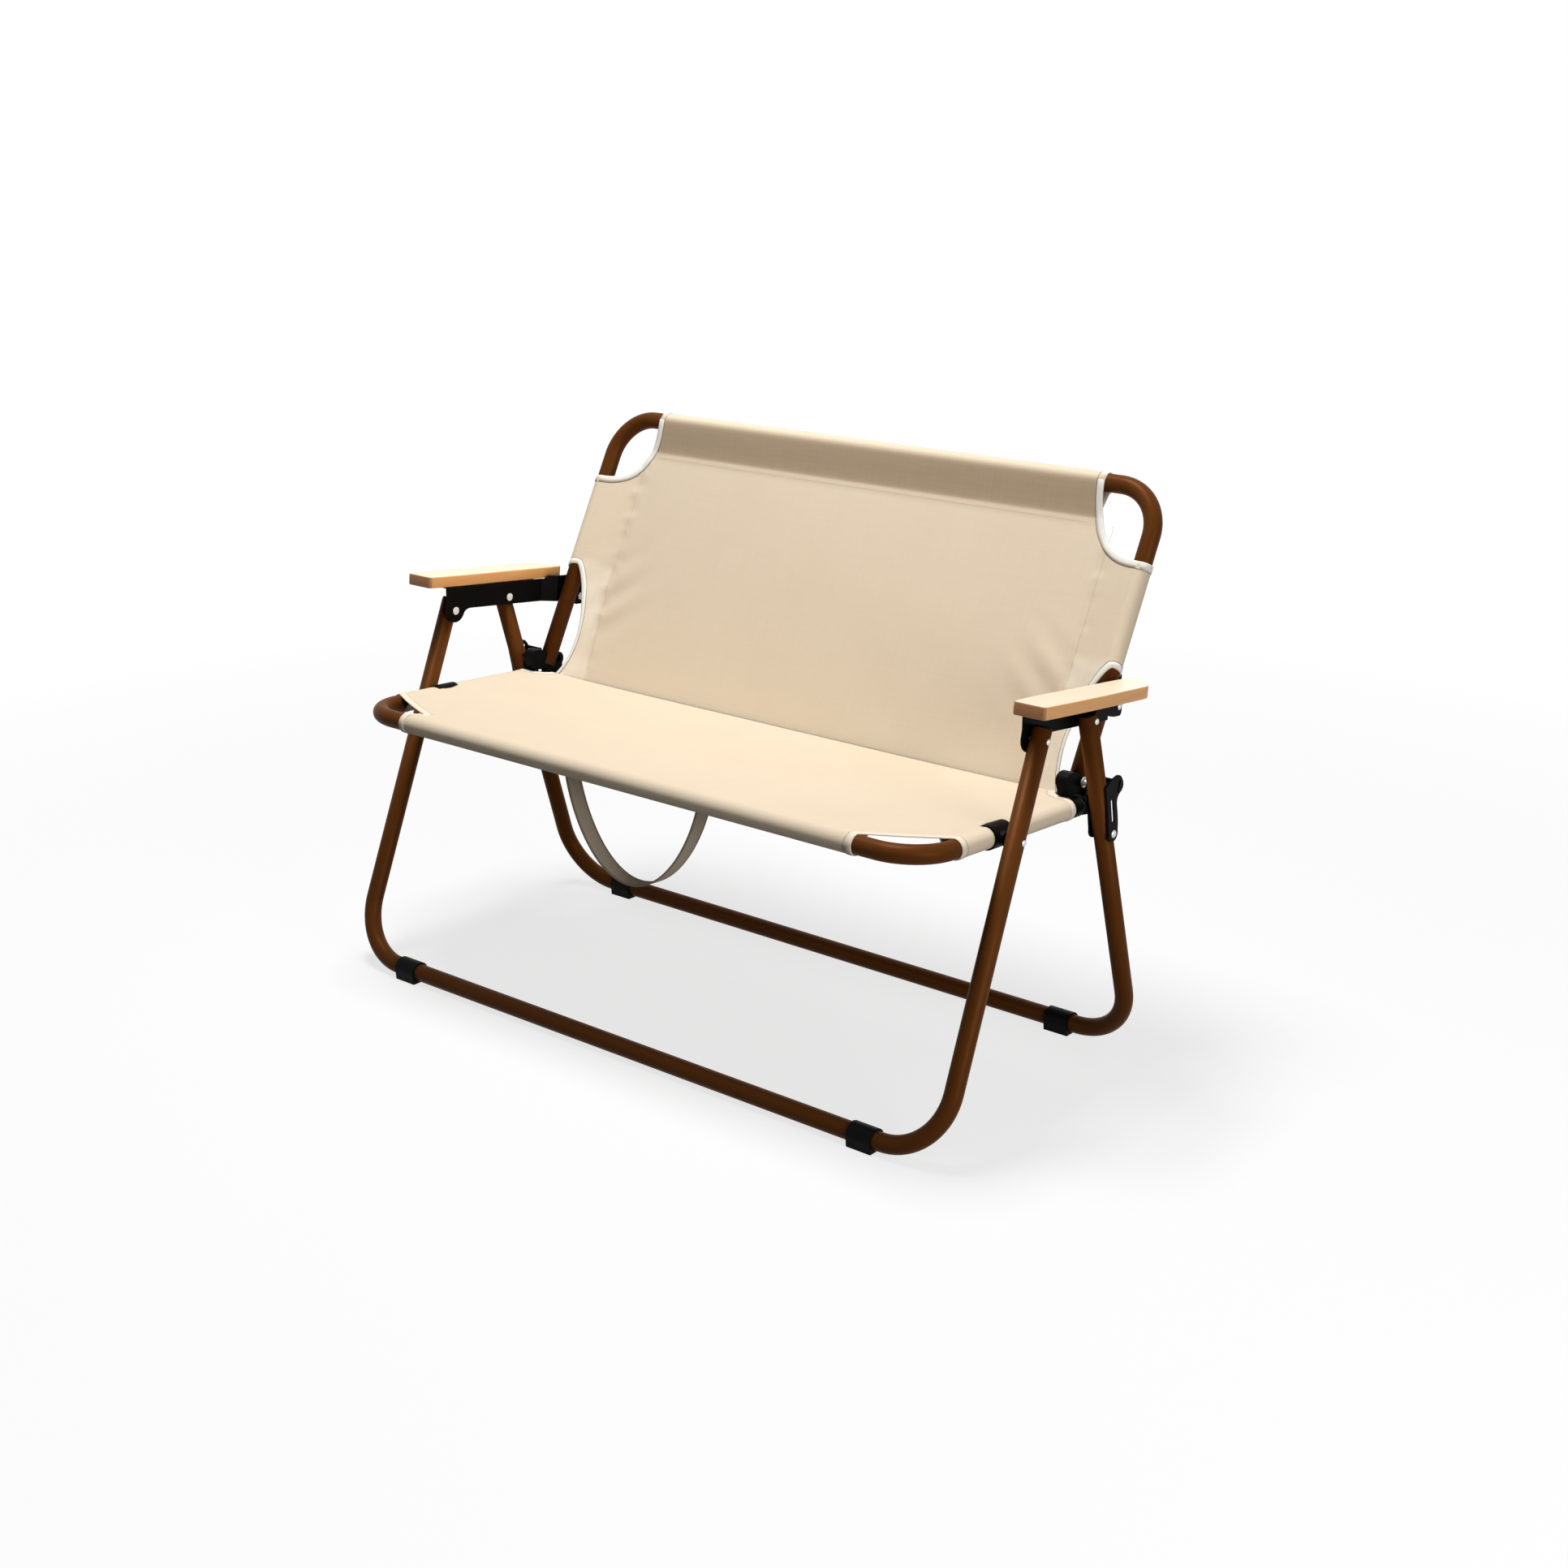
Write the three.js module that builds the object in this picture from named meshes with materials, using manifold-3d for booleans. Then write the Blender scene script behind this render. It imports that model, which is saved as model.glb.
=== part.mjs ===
// Folding camping loveseat: two bent tube leg frames, a seat and a back frame with
// fabric slings, wooden armrests on folded steel brackets, and a latch lever on each rear leg.
// Millimetres. X runs across the seat, Y from front to back, Z up from the floor.
import * as THREE from 'three';
import { mergeVertices } from 'three/addons/utils/BufferGeometryUtils.js';
import Module from 'manifold-3d';

const wasm = await Module();
wasm.setup();

const degrees = Math.PI / 180;
const gap = 0.3;

// Frame tubes
const tubeRadius = 12;
const tubeWall = 1.5;
const floorBarHeight = 15;
const legBend = 82;

// Leg frames, each leaning in to the armrest
const frontFoot = { y: -262.5, halfWidth: 510, lean: 22.35 * degrees, taper: 0.0085, top: 522 };
const rearFoot = { y: 174, halfWidth: 506.7, lean: 16.27 * degrees, taper: 0.0034, top: 498.5 };

// Pivots in the side view as (y, z). Armrest, front leg, seat and back form a parallelogram.
const armPivot = new THREE.Vector2(-69.5, 484.5);
const seatPivot = new THREE.Vector2(-115.6, 372.5);
const rearLegPivot = new THREE.Vector2(36.8, 485.2);
const linkLength = 221;
const seatSlope = -3.5 * degrees;
const armSlope = -6.1 * degrees;
const recline = -27.73 * degrees;

// Seat frame
const seatHalfWidth = 475;
const seatFront = 146.6;
const seatTubeEnd = 176;
const seatBend = 62;

// Back frame
const backHalfWidth = 463.4;
const backTopAxis = new THREE.Vector2(263.9, 724.9);
const backTubeLength = 391.5;
const backBend = 62;

// Armrests
const boardInner = 491;
const boardWidth = 49;
const boardLength = 265;
const boardThickness = 16;
const boardFront = -117;
const boardUnderHeight = 34.6;
const flangeInner = 489.9;
const sheet = 2.8;

// Latch lever on the rear leg, and the stud that its hook holds
const leverPivotHeight = 331;
const studPoint = new THREE.Vector2(81, 389);
const studRadius = 4;
const leverInner = 490.8;
const leverOuter = 518.7;
const leverSheet = 2.2;

// Fabric
const clothThickness = 1;
const clothGap = 0.3;
const seatSag = 9;
const backSag = 10;

const sides = [[-1, 'left'], [1, 'right']];
const zero = new THREE.Vector2();

const bronze = { color: 0x6b3a1a, roughness: 0.34, metalness: 0.75 };
const black = { color: 0x0c0b0a, roughness: 0.42, metalness: 0.3 };
const plastic = { color: 0x100f0e, roughness: 0.55, metalness: 0 };
const silver = { color: 0xc9c7c2, roughness: 0.3, metalness: 0.95 };
const wood = { color: 0xe0b57c, roughness: 0.55, metalness: 0 };
const canvas = { color: 0xe3d2b4, roughness: 0.95, metalness: 0 };
const webbing = { color: 0xb8aa90, roughness: 0.9, metalness: 0 };

const loveseat = new THREE.Group();
loveseat.name = 'folding_camping_loveseat';

function addPiece(parent, name, geometry, look) {
  const mesh = new THREE.Mesh(geometry, new THREE.MeshStandardMaterial(look));
  mesh.name = name;
  parent.add(mesh);
  return mesh;
}

// Where a side-view point lies in a frame that sits at origin, turned by angle about X.
function inFrame(point, origin, angle) {
  return point.clone().sub(origin).rotateAround(zero, -angle);
}

function frameGroup(origin, angle) {
  const group = new THREE.Group();
  group.position.set(0, origin.x, origin.y);
  group.rotation.x = angle;
  loveseat.add(group);
  return group;
}

// Solids from closed geometry, and back, for cuts and joins
function solid(geometry) {
  const bare = geometry.index ? geometry.toNonIndexed() : geometry.clone();
  bare.deleteAttribute('normal');
  bare.deleteAttribute('uv');
  const merged = mergeVertices(bare, 1e-4);
  const vertProperties = new Float32Array(merged.attributes.position.array);
  const triVerts = new Uint32Array(merged.index.array);
  return new wasm.Manifold(new wasm.Mesh({ numProp: 3, vertProperties, triVerts }));
}

function geometryOf(body) {
  const mesh = body.getMesh();
  const geometry = new THREE.BufferGeometry();
  geometry.setAttribute('position', new THREE.BufferAttribute(new Float32Array(mesh.vertProperties), 3));
  geometry.setIndex(new THREE.BufferAttribute(new Uint32Array(mesh.triVerts), 1));
  geometry.computeVertexNormals();
  return geometry;
}

function cut(geometry, ...tools) {
  let body = solid(geometry);
  for (const tool of tools) {
    body = body.subtract(solid(tool));
  }
  return geometryOf(body);
}

function join(...geometries) {
  let body = solid(geometries[0]);
  for (const geometry of geometries.slice(1)) {
    body = body.add(solid(geometry));
  }
  return geometryOf(body);
}

// A path through corner points with round bends. Stations lie only at the ends and round
// the bends, so a straight run is a single step.
class BentPath extends THREE.Curve {
  constructor(corners, bendRadius, stepsPerBend = 7) {
    super();
    this.stations = [];
    this.tangents = [];
    const last = corners.length - 1;
    this.addStation(corners[0], corners[1].clone().sub(corners[0]).normalize());
    for (let i = 1; i < last; i += 1) {
      const before = corners[i].clone().sub(corners[i - 1]).normalize();
      const after = corners[i + 1].clone().sub(corners[i]).normalize();
      const turn = before.angleTo(after);
      const setback = bendRadius * Math.tan(turn / 2);
      const start = corners[i].clone().addScaledVector(before, -setback);
      const inward = after.clone().addScaledVector(before, -before.dot(after)).normalize();
      const centre = start.clone().addScaledVector(inward, bendRadius);
      for (let step = 0; step <= stepsPerBend; step += 1) {
        const angle = turn * step / stepsPerBend;
        const point = centre.clone()
          .addScaledVector(before, bendRadius * Math.sin(angle))
          .addScaledVector(inward, -bendRadius * Math.cos(angle));
        const tangent = before.clone().multiplyScalar(Math.cos(angle))
          .addScaledVector(inward, Math.sin(angle));
        this.addStation(point, tangent);
      }
    }
    this.addStation(corners[last], corners[last].clone().sub(corners[last - 1]).normalize());
  }

  addStation(point, tangent) {
    this.stations.push(point.clone());
    this.tangents.push(tangent.clone());
  }

  get steps() {
    return this.stations.length - 1;
  }

  getPoint(t, target = new THREE.Vector3()) {
    return target.copy(this.stations[Math.round(t * this.steps)]);
  }

  getPointAt(u, target = new THREE.Vector3()) {
    return this.getPoint(u, target);
  }

  getTangentAt(u, target = new THREE.Vector3()) {
    return target.copy(this.tangents[Math.round(u * this.steps)]);
  }
}

function circle(radius, hole = 0) {
  const shape = new THREE.Shape();
  shape.absarc(0, 0, radius, 0, 2 * Math.PI, false);
  if (hole > 0) {
    const inside = new THREE.Path();
    inside.absarc(0, 0, hole, 0, 2 * Math.PI, true);
    shape.holes.push(inside);
  }
  return shape;
}

function bentTube(corners, bend, radius, innerRadius, sidesRound = 8) {
  const path = new BentPath(corners, bend);
  return new THREE.ExtrudeGeometry(circle(radius, innerRadius), {
    steps: path.steps, extrudePath: path, bevelEnabled: false, curveSegments: sidesRound,
  });
}

function straightTube(from, to, radius, innerRadius, sidesRound = 12) {
  return bentTube([from, to], 1, radius, innerRadius, sidesRound);
}

// A flat piece drawn in the side view, with its thickness along X
function sidePlate(shape, side, innerX, outerX, curveSegments = 6) {
  const geometry = new THREE.ExtrudeGeometry(shape, {
    depth: outerX - innerX, bevelEnabled: false, curveSegments,
  });
  const along = new THREE.Matrix4().makeBasis(
    new THREE.Vector3(0, 1, 0), new THREE.Vector3(0, 0, 1), new THREE.Vector3(1, 0, 0));
  geometry.applyMatrix4(along);
  geometry.translate(side > 0 ? innerX : -outerX, 0, 0);
  return geometry;
}

// A turned piece on the X axis, its profile given as [x, radius] from one end to the other
function turnedAlongX(profile, side, segments = 12) {
  const points = profile.map(([x, radius]) => new THREE.Vector2(radius, x));
  const geometry = new THREE.LatheGeometry(points, segments);
  geometry.rotateZ(-Math.PI / 2);
  if (side < 0) {
    geometry.rotateZ(Math.PI);
  }
  return geometry;
}

function roundBar(side, innerX, outerX, radius, y, z, segments = 14) {
  const bar = turnedAlongX([[innerX, 0], [innerX, radius], [outerX, radius], [outerX, 0]], side, segments);
  bar.translate(0, y, z);
  return bar;
}

// A rivet on the X axis with a domed head outside and a flat head inside
function rivet(side, innerX, outerX, shank, head) {
  const dome = 2.2;
  const tail = head * 0.72;
  return turnedAlongX([
    [innerX - 1.4, 0], [innerX - 1.4, head], [innerX, head], [innerX, shank], [outerX, shank],
    [outerX, tail], [outerX + 0.8, tail], [outerX + dome, tail * 0.55], [outerX + dome, 0],
  ], side);
}

// Leg frames: each leg plane leans, so the U is drawn upright in its own frame
function legFrame(foot) {
  const halfWidthAt = (height) => foot.halfWidth - foot.taper * height;
  const topX = halfWidthAt(foot.top);
  const footX = halfWidthAt(0);
  const corners = [[-topX, foot.top], [-footX, 0], [footX, 0], [topX, foot.top]]
    .map(([x, z]) => new THREE.Vector3(x, 0, z));
  return bentTube(corners, legBend, tubeRadius, tubeRadius - tubeWall);
}

function legPoint(foot, height, leanSign) {
  const rise = (height - floorBarHeight);
  return new THREE.Vector2(foot.y + leanSign * rise * Math.tan(foot.lean), height);
}

function legX(foot, point) {
  const along = (point.y - floorBarHeight) / Math.cos(foot.lean);
  return foot.halfWidth - foot.taper * along;
}

const shankRadius = 3;
const headRadius = 5.5;
const leverPivot = legPoint(rearFoot, leverPivotHeight, -1);

const frontOrigin = new THREE.Vector2(frontFoot.y, floorBarHeight);
const frontLegs = frameGroup(frontOrigin, -frontFoot.lean);
const rearOrigin = new THREE.Vector2(rearFoot.y, floorBarHeight);
const rearLegs = frameGroup(rearOrigin, rearFoot.lean);

function pivotHoles(points, origin, angle, radius) {
  return points.flatMap((point) => sides.map(([side]) => {
    const local = inFrame(point, origin, angle);
    return roundBar(side, 480, 530, radius, local.x, local.y, 12);
  }));
}

addPiece(frontLegs, 'front_leg_frame',
  cut(legFrame(frontFoot),
    ...pivotHoles([armPivot, seatPivot], frontOrigin, -frontFoot.lean, shankRadius + gap)), bronze);
addPiece(rearLegs, 'rear_leg_frame',
  cut(legFrame(rearFoot),
    ...pivotHoles([rearLegPivot, leverPivot], rearOrigin, rearFoot.lean, shankRadius + gap)), bronze);

// Plastic plugs in the open tops of the legs
for (const [group, foot, name] of [[frontLegs, frontFoot, 'front'], [rearLegs, rearFoot, 'rear']]) {
  for (const [side, sideName] of sides) {
    const plug = new THREE.LatheGeometry([[0, -5], [10.1, -5], [10.1, gap], [11.8, gap],
      [11.8, 1.5], [10.4, 2.6], [0, 3]].map(([x, y]) => new THREE.Vector2(x, y)), 14);
    plug.rotateX(Math.PI / 2);
    const mesh = addPiece(group, `${name}_leg_plug_${sideName}`, plug, plastic);
    mesh.position.set(side * (foot.halfWidth - foot.taper * foot.top), 0, foot.top);
    mesh.rotation.y = -side * Math.atan(foot.taper);
  }
}

// Foot sleeves on the floor bars, next to the bends, each with a flat base
function footSleeve() {
  const outer = 14.8;
  const baseHalf = 13;
  const shape = new THREE.Shape();
  shape.moveTo(-baseHalf, -floorBarHeight);
  shape.lineTo(baseHalf, -floorBarHeight);
  shape.lineTo(outer * Math.cos(0.35), -outer * Math.sin(0.35));
  shape.absarc(0, 0, outer, -0.35, Math.PI + 0.35, false);
  shape.closePath();
  const bore = new THREE.Path();
  bore.absarc(0, 0, tubeRadius + gap, 0, 2 * Math.PI, true);
  shape.holes.push(bore);
  return shape;
}

const sleeveLength = 37;
for (const [foot, name, centre] of [[frontFoot, 'front', 403], [rearFoot, 'rear', 399]]) {
  for (const [side, sideName] of sides) {
    const sleeve = sidePlate(footSleeve(), side, centre - sleeveLength / 2, centre + sleeveLength / 2, 8);
    const mesh = addPiece(loveseat, `${name}_foot_sleeve_${sideName}`, sleeve, plastic);
    mesh.position.set(0, foot.y, floorBarHeight);
  }
}

// Seat: drawn in a frame at the seat pivot, Y along the seat tubes, Z square to them
const seat = frameGroup(seatPivot, seatSlope);
const seatCorners = [[-seatHalfWidth, seatTubeEnd], [-seatHalfWidth, -seatFront],
  [seatHalfWidth, -seatFront], [seatHalfWidth, seatTubeEnd]].map(([x, y]) => new THREE.Vector3(x, y, 0));
addPiece(seat, 'seat_frame',
  cut(bentTube(seatCorners, seatBend, tubeRadius, tubeRadius - tubeWall),
    ...sides.map(([side]) => roundBar(side, 455, 495, shankRadius + gap, 0, 0, 12))), bronze);

const collarStart = -14;
const collarEnd = 22;
const collarRadius = 15.5;
for (const [side, sideName] of sides) {
  const x = side * seatHalfWidth;
  // Collar round the seat tube with a boss that bears on the front leg
  const ring = straightTube(new THREE.Vector3(x, collarStart, 0), new THREE.Vector3(x, collarEnd, 0),
    collarRadius, tubeRadius + gap);
  const bossFace = legX(frontFoot, seatPivot) - tubeRadius - gap;
  const boss = roundBar(side, seatHalfWidth + tubeRadius + 1, bossFace, 9, 0, 0);
  const hole = roundBar(side, 455, 500, shankRadius + gap, 0, 0, 12);
  addPiece(seat, `seat_collar_${sideName}`, cut(join(ring, boss), hole), plastic);

  const outerHead = legX(frontFoot, seatPivot) + tubeRadius + gap;
  addPiece(seat, `seat_pivot_rivet_${sideName}`,
    rivet(side, seatHalfWidth - collarRadius - gap, outerHead, shankRadius, headRadius), silver);
}

// Seat tube end: a black cap over the tube with an arm that reaches back to the hinge rod
const rodRadius = 5;
const eyeRadius = 9.5;
const capStart = 163;
const capEnd = 187;
const capRadius = 13.2;
const seatArmInner = 479.5;
const seatArmOuter = 484.5;

function seatArmShape() {
  const shape = new THREE.Shape();
  shape.moveTo(-44, -9);
  shape.lineTo(-30, -10.5);
  shape.quadraticCurveTo(-16, -11.5, -5, -eyeRadius);
  shape.absarc(0, 0, eyeRadius, -2.1, 1.9, false);
  shape.quadraticCurveTo(-13, 0.5, -25, 1.5);
  shape.lineTo(-44, 4.5);
  shape.closePath();
  return shape;
}

for (const [side, sideName] of sides) {
  const cap = new THREE.LatheGeometry([[0, capEnd], [8, capEnd], [11.6, capEnd - 2], [capRadius, capEnd - 6],
    [capRadius, capStart], [tubeRadius + gap, capStart], [tubeRadius + gap, seatTubeEnd + gap],
    [0, seatTubeEnd + gap]].reverse().map(([r, y]) => new THREE.Vector2(r, y)), 20);
  cap.translate(side * seatHalfWidth, 0, 0);
  const arm = sidePlate(seatArmShape(), side, seatArmInner, seatArmOuter);
  arm.translate(0, linkLength, 0);
  const eye = roundBar(side, 470, 500, rodRadius + gap, linkLength, 0, 20);
  addPiece(seat, `seat_end_fitting_${sideName}`, cut(join(cap, arm), eye), black);
}

// Hinge rod across the rear of the seat, with a collar head outside each seat arm
const rodHalf = seatArmOuter + gap;
const rodEnd = rodHalf + 2.4;
const rod = new THREE.LatheGeometry([[0, -rodEnd], [8, -rodEnd], [8, -rodHalf], [rodRadius, -rodHalf],
  [rodRadius, rodHalf], [8, rodHalf], [8, rodEnd], [0, rodEnd]]
  .map(([r, y]) => new THREE.Vector2(r, y)), 14);
rod.rotateZ(-Math.PI / 2);
addPiece(seat, 'seat_hinge_rod', rod, black).position.set(0, linkLength, 0);

// Back: drawn in a frame on the top bar axis, Z up along the tubes, Y square to them
const back = frameGroup(backTopAxis, recline);
const hinge = seatPivot.clone().add(new THREE.Vector2(linkLength, 0).rotateAround(zero, seatSlope));
const armBackPivot = armPivot.clone().add(hinge).sub(seatPivot);
const hingeLocal = inFrame(hinge, backTopAxis, recline);
const armBackLocal = inFrame(armBackPivot, backTopAxis, recline);
const studLocal = inFrame(studPoint, backTopAxis, recline);

const backCorners = [[-backHalfWidth, -backTubeLength], [-backHalfWidth, 0],
  [backHalfWidth, 0], [backHalfWidth, -backTubeLength]].map(([x, z]) => new THREE.Vector3(x, 0, z));
addPiece(back, 'back_frame', bentTube(backCorners, backBend, tubeRadius, tubeRadius - tubeWall), bronze);

const castInner = 457;
const castOuter = 473;

function tubeBore(side, low, high) {
  return straightTube(new THREE.Vector3(side * backHalfWidth, 0, low),
    new THREE.Vector3(side * backHalfWidth, 0, high), tubeRadius + gap, 0);
}

// Hinge casting at the foot of the back tube: a fin in front of the tube, a loop behind it
// and, below its end, an eye for the hinge rod. Drawn round the hinge in the side view.
function hingeCastingShape() {
  const shape = new THREE.Shape();
  shape.moveTo(-53, 17);
  shape.lineTo(-60, 36);
  shape.quadraticCurveTo(-60, 47, -46, 47);
  shape.quadraticCurveTo(-36, 47, -27, 38);
  shape.lineTo(-12, 37);
  shape.absarc(-4, 25, 10.5, 2.1, -0.7, true);
  shape.quadraticCurveTo(2, 14, 7, 7);
  shape.absarc(0, 0, eyeRadius, 0.7, -2.6, true);
  shape.quadraticCurveTo(-20, 4, -26, 14);
  shape.lineTo(-33, 16.5);
  shape.closePath();
  const loop = new THREE.Path();
  loop.absarc(-4, 25, 5, 0, 2 * Math.PI, false);
  shape.holes.push(loop);
  return shape;
}

function hingeArmShape() {
  const shape = new THREE.Shape();
  shape.moveTo(-24, 12);
  shape.lineTo(-9, -3);
  shape.absarc(0, 0, eyeRadius, Math.PI + 0.3, 2 * Math.PI + 0.9, false);
  shape.lineTo(-4, 18);
  shape.lineTo(-22, 18);
  shape.closePath();
  return shape;
}

// Saddle on the back of the back tube that carries the armrest's rear pivot
function saddleShape() {
  const shape = new THREE.Shape();
  shape.moveTo(2, -14);
  shape.lineTo(16, -14);
  shape.absarc(18.3, 0, 12, -1.4, 0.9, false);
  shape.quadraticCurveTo(18, 32, 13, 40);
  shape.lineTo(2, 41.5);
  shape.closePath();
  return shape;
}

const hingeArmOuter = 478.5;
const lugInner = 476.5;
const lugOuter = lugInner + sheet;
for (const [side, sideName] of sides) {
  const casting = sidePlate(hingeCastingShape(), side, castInner, castOuter, 7);
  const eyeArm = sidePlate(hingeArmShape(), side, castOuter - 2, hingeArmOuter, 7);
  const eye = roundBar(side, 450, 490, rodRadius + gap, 0, 0, 20);
  const body = cut(join(casting, eyeArm), eye);
  body.rotateX(-recline);
  body.translate(0, hingeLocal.x, hingeLocal.y);
  addPiece(back, `back_hinge_casting_${sideName}`,
    cut(body, tubeBore(side, -backTubeLength - gap, 0)), black);

  // Latch stud with a flange against the back tube
  const base = backHalfWidth + tubeRadius + gap;
  const tip = leverInner + leverSheet;
  const stud = turnedAlongX([[base, 0], [base, 7], [base + 1.5, 7], [base + 2, 6], [base + 2, studRadius],
    [tip - 0.8, studRadius], [tip, studRadius - 0.8], [tip, 0]], side);
  addPiece(back, `latch_stud_${sideName}`, stud, silver).position.set(0, studLocal.x, studLocal.y);

  const saddle = sidePlate(saddleShape(), side, castInner, castOuter, 7);
  saddle.translate(0, armBackLocal.x - 18.3, armBackLocal.y);
  const boss = roundBar(side, castOuter - 1, lugInner - gap, 8, armBackLocal.x, armBackLocal.y);
  const hole = roundBar(side, 450, 490, shankRadius + gap, armBackLocal.x, armBackLocal.y, 12);
  addPiece(back, `back_saddle_${sideName}`,
    cut(join(saddle, boss), hole, tubeBore(side, -320, -180)), black);

  addPiece(back, `armrest_rear_rivet_${sideName}`,
    rivet(side, castInner - gap, lugOuter + gap, shankRadius, headRadius), silver)
    .position.set(0, armBackLocal.x, armBackLocal.y);
}

// Armrests: drawn in a frame at the front armrest pivot, Y along the board, Z square to it
const armrest = frameGroup(armPivot, armSlope);
const rearLegLocal = inFrame(rearLegPivot, armPivot, armSlope);
const lugLocal = inFrame(armBackPivot, armPivot, armSlope);
const boardStart = (boardFront - armPivot.x) / Math.cos(armSlope);

// Board outline seen from above, y along the board, x outwards from its inner edge
function boardShape() {
  const shape = new THREE.Shape();
  shape.moveTo(8, 0);
  shape.lineTo(boardWidth - 5, 0);
  shape.quadraticCurveTo(boardWidth - 1, 0, boardWidth - 0.5, 5);
  shape.quadraticCurveTo(boardWidth + 1, 60, boardWidth, 140);
  shape.lineTo(boardWidth - 2, boardLength - 38);
  shape.quadraticCurveTo(boardWidth - 2.5, boardLength - 28, boardWidth - 10, boardLength - 21);
  shape.quadraticCurveTo(boardWidth - 24, boardLength - 5, 14, boardLength - 1);
  shape.quadraticCurveTo(2, boardLength + 1, 1.5, boardLength - 11);
  shape.lineTo(0, 60);
  shape.quadraticCurveTo(0.5, 26, 2.5, 6);
  shape.quadraticCurveTo(3.5, 0.3, 8, 0);
  return shape;
}

function board(side) {
  const edge = 2.2;
  const shape = boardShape();
  const geometry = new THREE.ExtrudeGeometry(shape, {
    depth: boardThickness - 2 * edge, bevelEnabled: true, bevelThickness: edge, bevelSize: edge,
    bevelOffset: -edge, bevelSegments: 2, curveSegments: 6,
  });
  geometry.translate(0, 0, edge);
  if (side < 0) {
    geometry.rotateY(Math.PI);
    geometry.translate(0, 0, boardThickness);
  }
  geometry.translate(side * boardInner, 0, 0);
  return geometry;
}

// Bracket: one folded sheet. Its side outline is cut from a strip that is folded in plan,
// and a top flange turns out under the board.
function bracketOutline() {
  const tab = 17;
  const lugRise = 5;
  const under = boardUnderHeight - gap;
  const depth = under - 32.3;
  const shape = new THREE.Shape();
  shape.moveTo(-tab - 1, under);
  shape.lineTo(-tab + 1, 12);
  shape.lineTo(-tab, 0);
  shape.absarc(0, 0, tab, Math.PI, 2 * Math.PI - 0.35, false);
  shape.quadraticCurveTo(19, depth, 30, depth);
  shape.lineTo(lugLocal.x - 24, depth - 1);
  shape.quadraticCurveTo(lugLocal.x - 14, lugLocal.y - 12, lugLocal.x - 4, lugLocal.y - 12);
  shape.lineTo(lugLocal.x + 2, lugLocal.y - 12);
  shape.quadraticCurveTo(lugLocal.x + 7.5, lugLocal.y - 12, lugLocal.x + 7.5, lugLocal.y - 6);
  shape.lineTo(lugLocal.x + 6.5, under + lugRise);
  shape.lineTo(182, under + lugRise);
  shape.lineTo(176, under);
  shape.closePath();
  return shape;
}

function foldedStrip() {
  const flangeEnd = 172;
  const lugStart = 192;
  const end = lugLocal.x + 20;
  const shape = new THREE.Shape();
  shape.moveTo(flangeInner, -30);
  shape.lineTo(flangeInner + sheet, -30);
  shape.lineTo(flangeInner + sheet, flangeEnd + 1);
  shape.lineTo(lugOuter, lugStart + 1);
  shape.lineTo(lugOuter, end);
  shape.lineTo(lugInner, end);
  shape.lineTo(lugInner, lugStart - 1);
  shape.lineTo(flangeInner, flangeEnd - 1);
  shape.closePath();
  return shape;
}

function bracket(side) {
  const outline = sidePlate(bracketOutline(), side, 470, 500, 10);
  const strip = new THREE.ExtrudeGeometry(foldedStrip(), { depth: 80, bevelEnabled: false });
  strip.translate(0, 0, -30);
  if (side < 0) {
    strip.rotateY(Math.PI);
    strip.translate(0, 0, 20);
  }
  const topFlange = new THREE.Shape();
  topFlange.moveTo(-14, 0);
  topFlange.lineTo(158, 0);
  topFlange.lineTo(158, sheet - 0.4);
  topFlange.lineTo(-14, sheet - 0.4);
  topFlange.closePath();
  const ledge = sidePlate(topFlange, side, flangeInner + 1, 522);
  ledge.translate(0, 0, boardUnderHeight - gap - sheet + 0.4);
  const holes = [zero, rearLegLocal, lugLocal].map((point) =>
    roundBar(side, 470, 500, shankRadius + gap, point.x, point.y, 12));
  let body = solid(outline).intersect(solid(strip)).add(solid(ledge));
  for (const hole of holes) {
    body = body.subtract(solid(hole));
  }
  return geometryOf(body);
}

for (const [side, sideName] of sides) {
  const wooden = addPiece(armrest, `armrest_board_${sideName}`, board(side), wood);
  wooden.position.set(0, boardStart, boardUnderHeight);
  addPiece(armrest, `armrest_bracket_${sideName}`, bracket(side), black);
  addPiece(armrest, `armrest_front_rivet_${sideName}`,
    rivet(side, flangeInner - gap, legX(frontFoot, armPivot) + tubeRadius + gap, shankRadius, headRadius),
    silver);
  const rearRivet = addPiece(armrest, `rear_leg_rivet_${sideName}`,
    rivet(side, flangeInner - gap, legX(rearFoot, rearLegPivot) + tubeRadius + gap, shankRadius, headRadius),
    silver);
  rearRivet.position.set(0, rearLegLocal.x, rearLegLocal.y);
}

// Latch lever: a sheet channel round the back of the rear leg, drawn in a frame at its pivot
// with Z up along the leg and Y behind it. Its inner cheek hooks over the stud.
const lever = frameGroup(leverPivot, rearFoot.lean);
const hooked = inFrame(studPoint, leverPivot, rearFoot.lean);

function cheekShape() {
  const hub = 10.5;
  const shape = new THREE.Shape();
  shape.absarc(0, 0, hub, Math.PI * 0.85, 2 * Math.PI, false);
  shape.quadraticCurveTo(15, 14, 15.6, 34);
  shape.quadraticCurveTo(17, 44, 27, 46);
  shape.quadraticCurveTo(36, 48, 35, 57);
  return shape;
}

function outerCheekShape() {
  const shape = cheekShape();
  shape.quadraticCurveTo(33, 69, 24, 71);
  shape.quadraticCurveTo(12, 73, -3, 68);
  shape.lineTo(-5, 40);
  shape.closePath();
  return shape;
}

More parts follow.
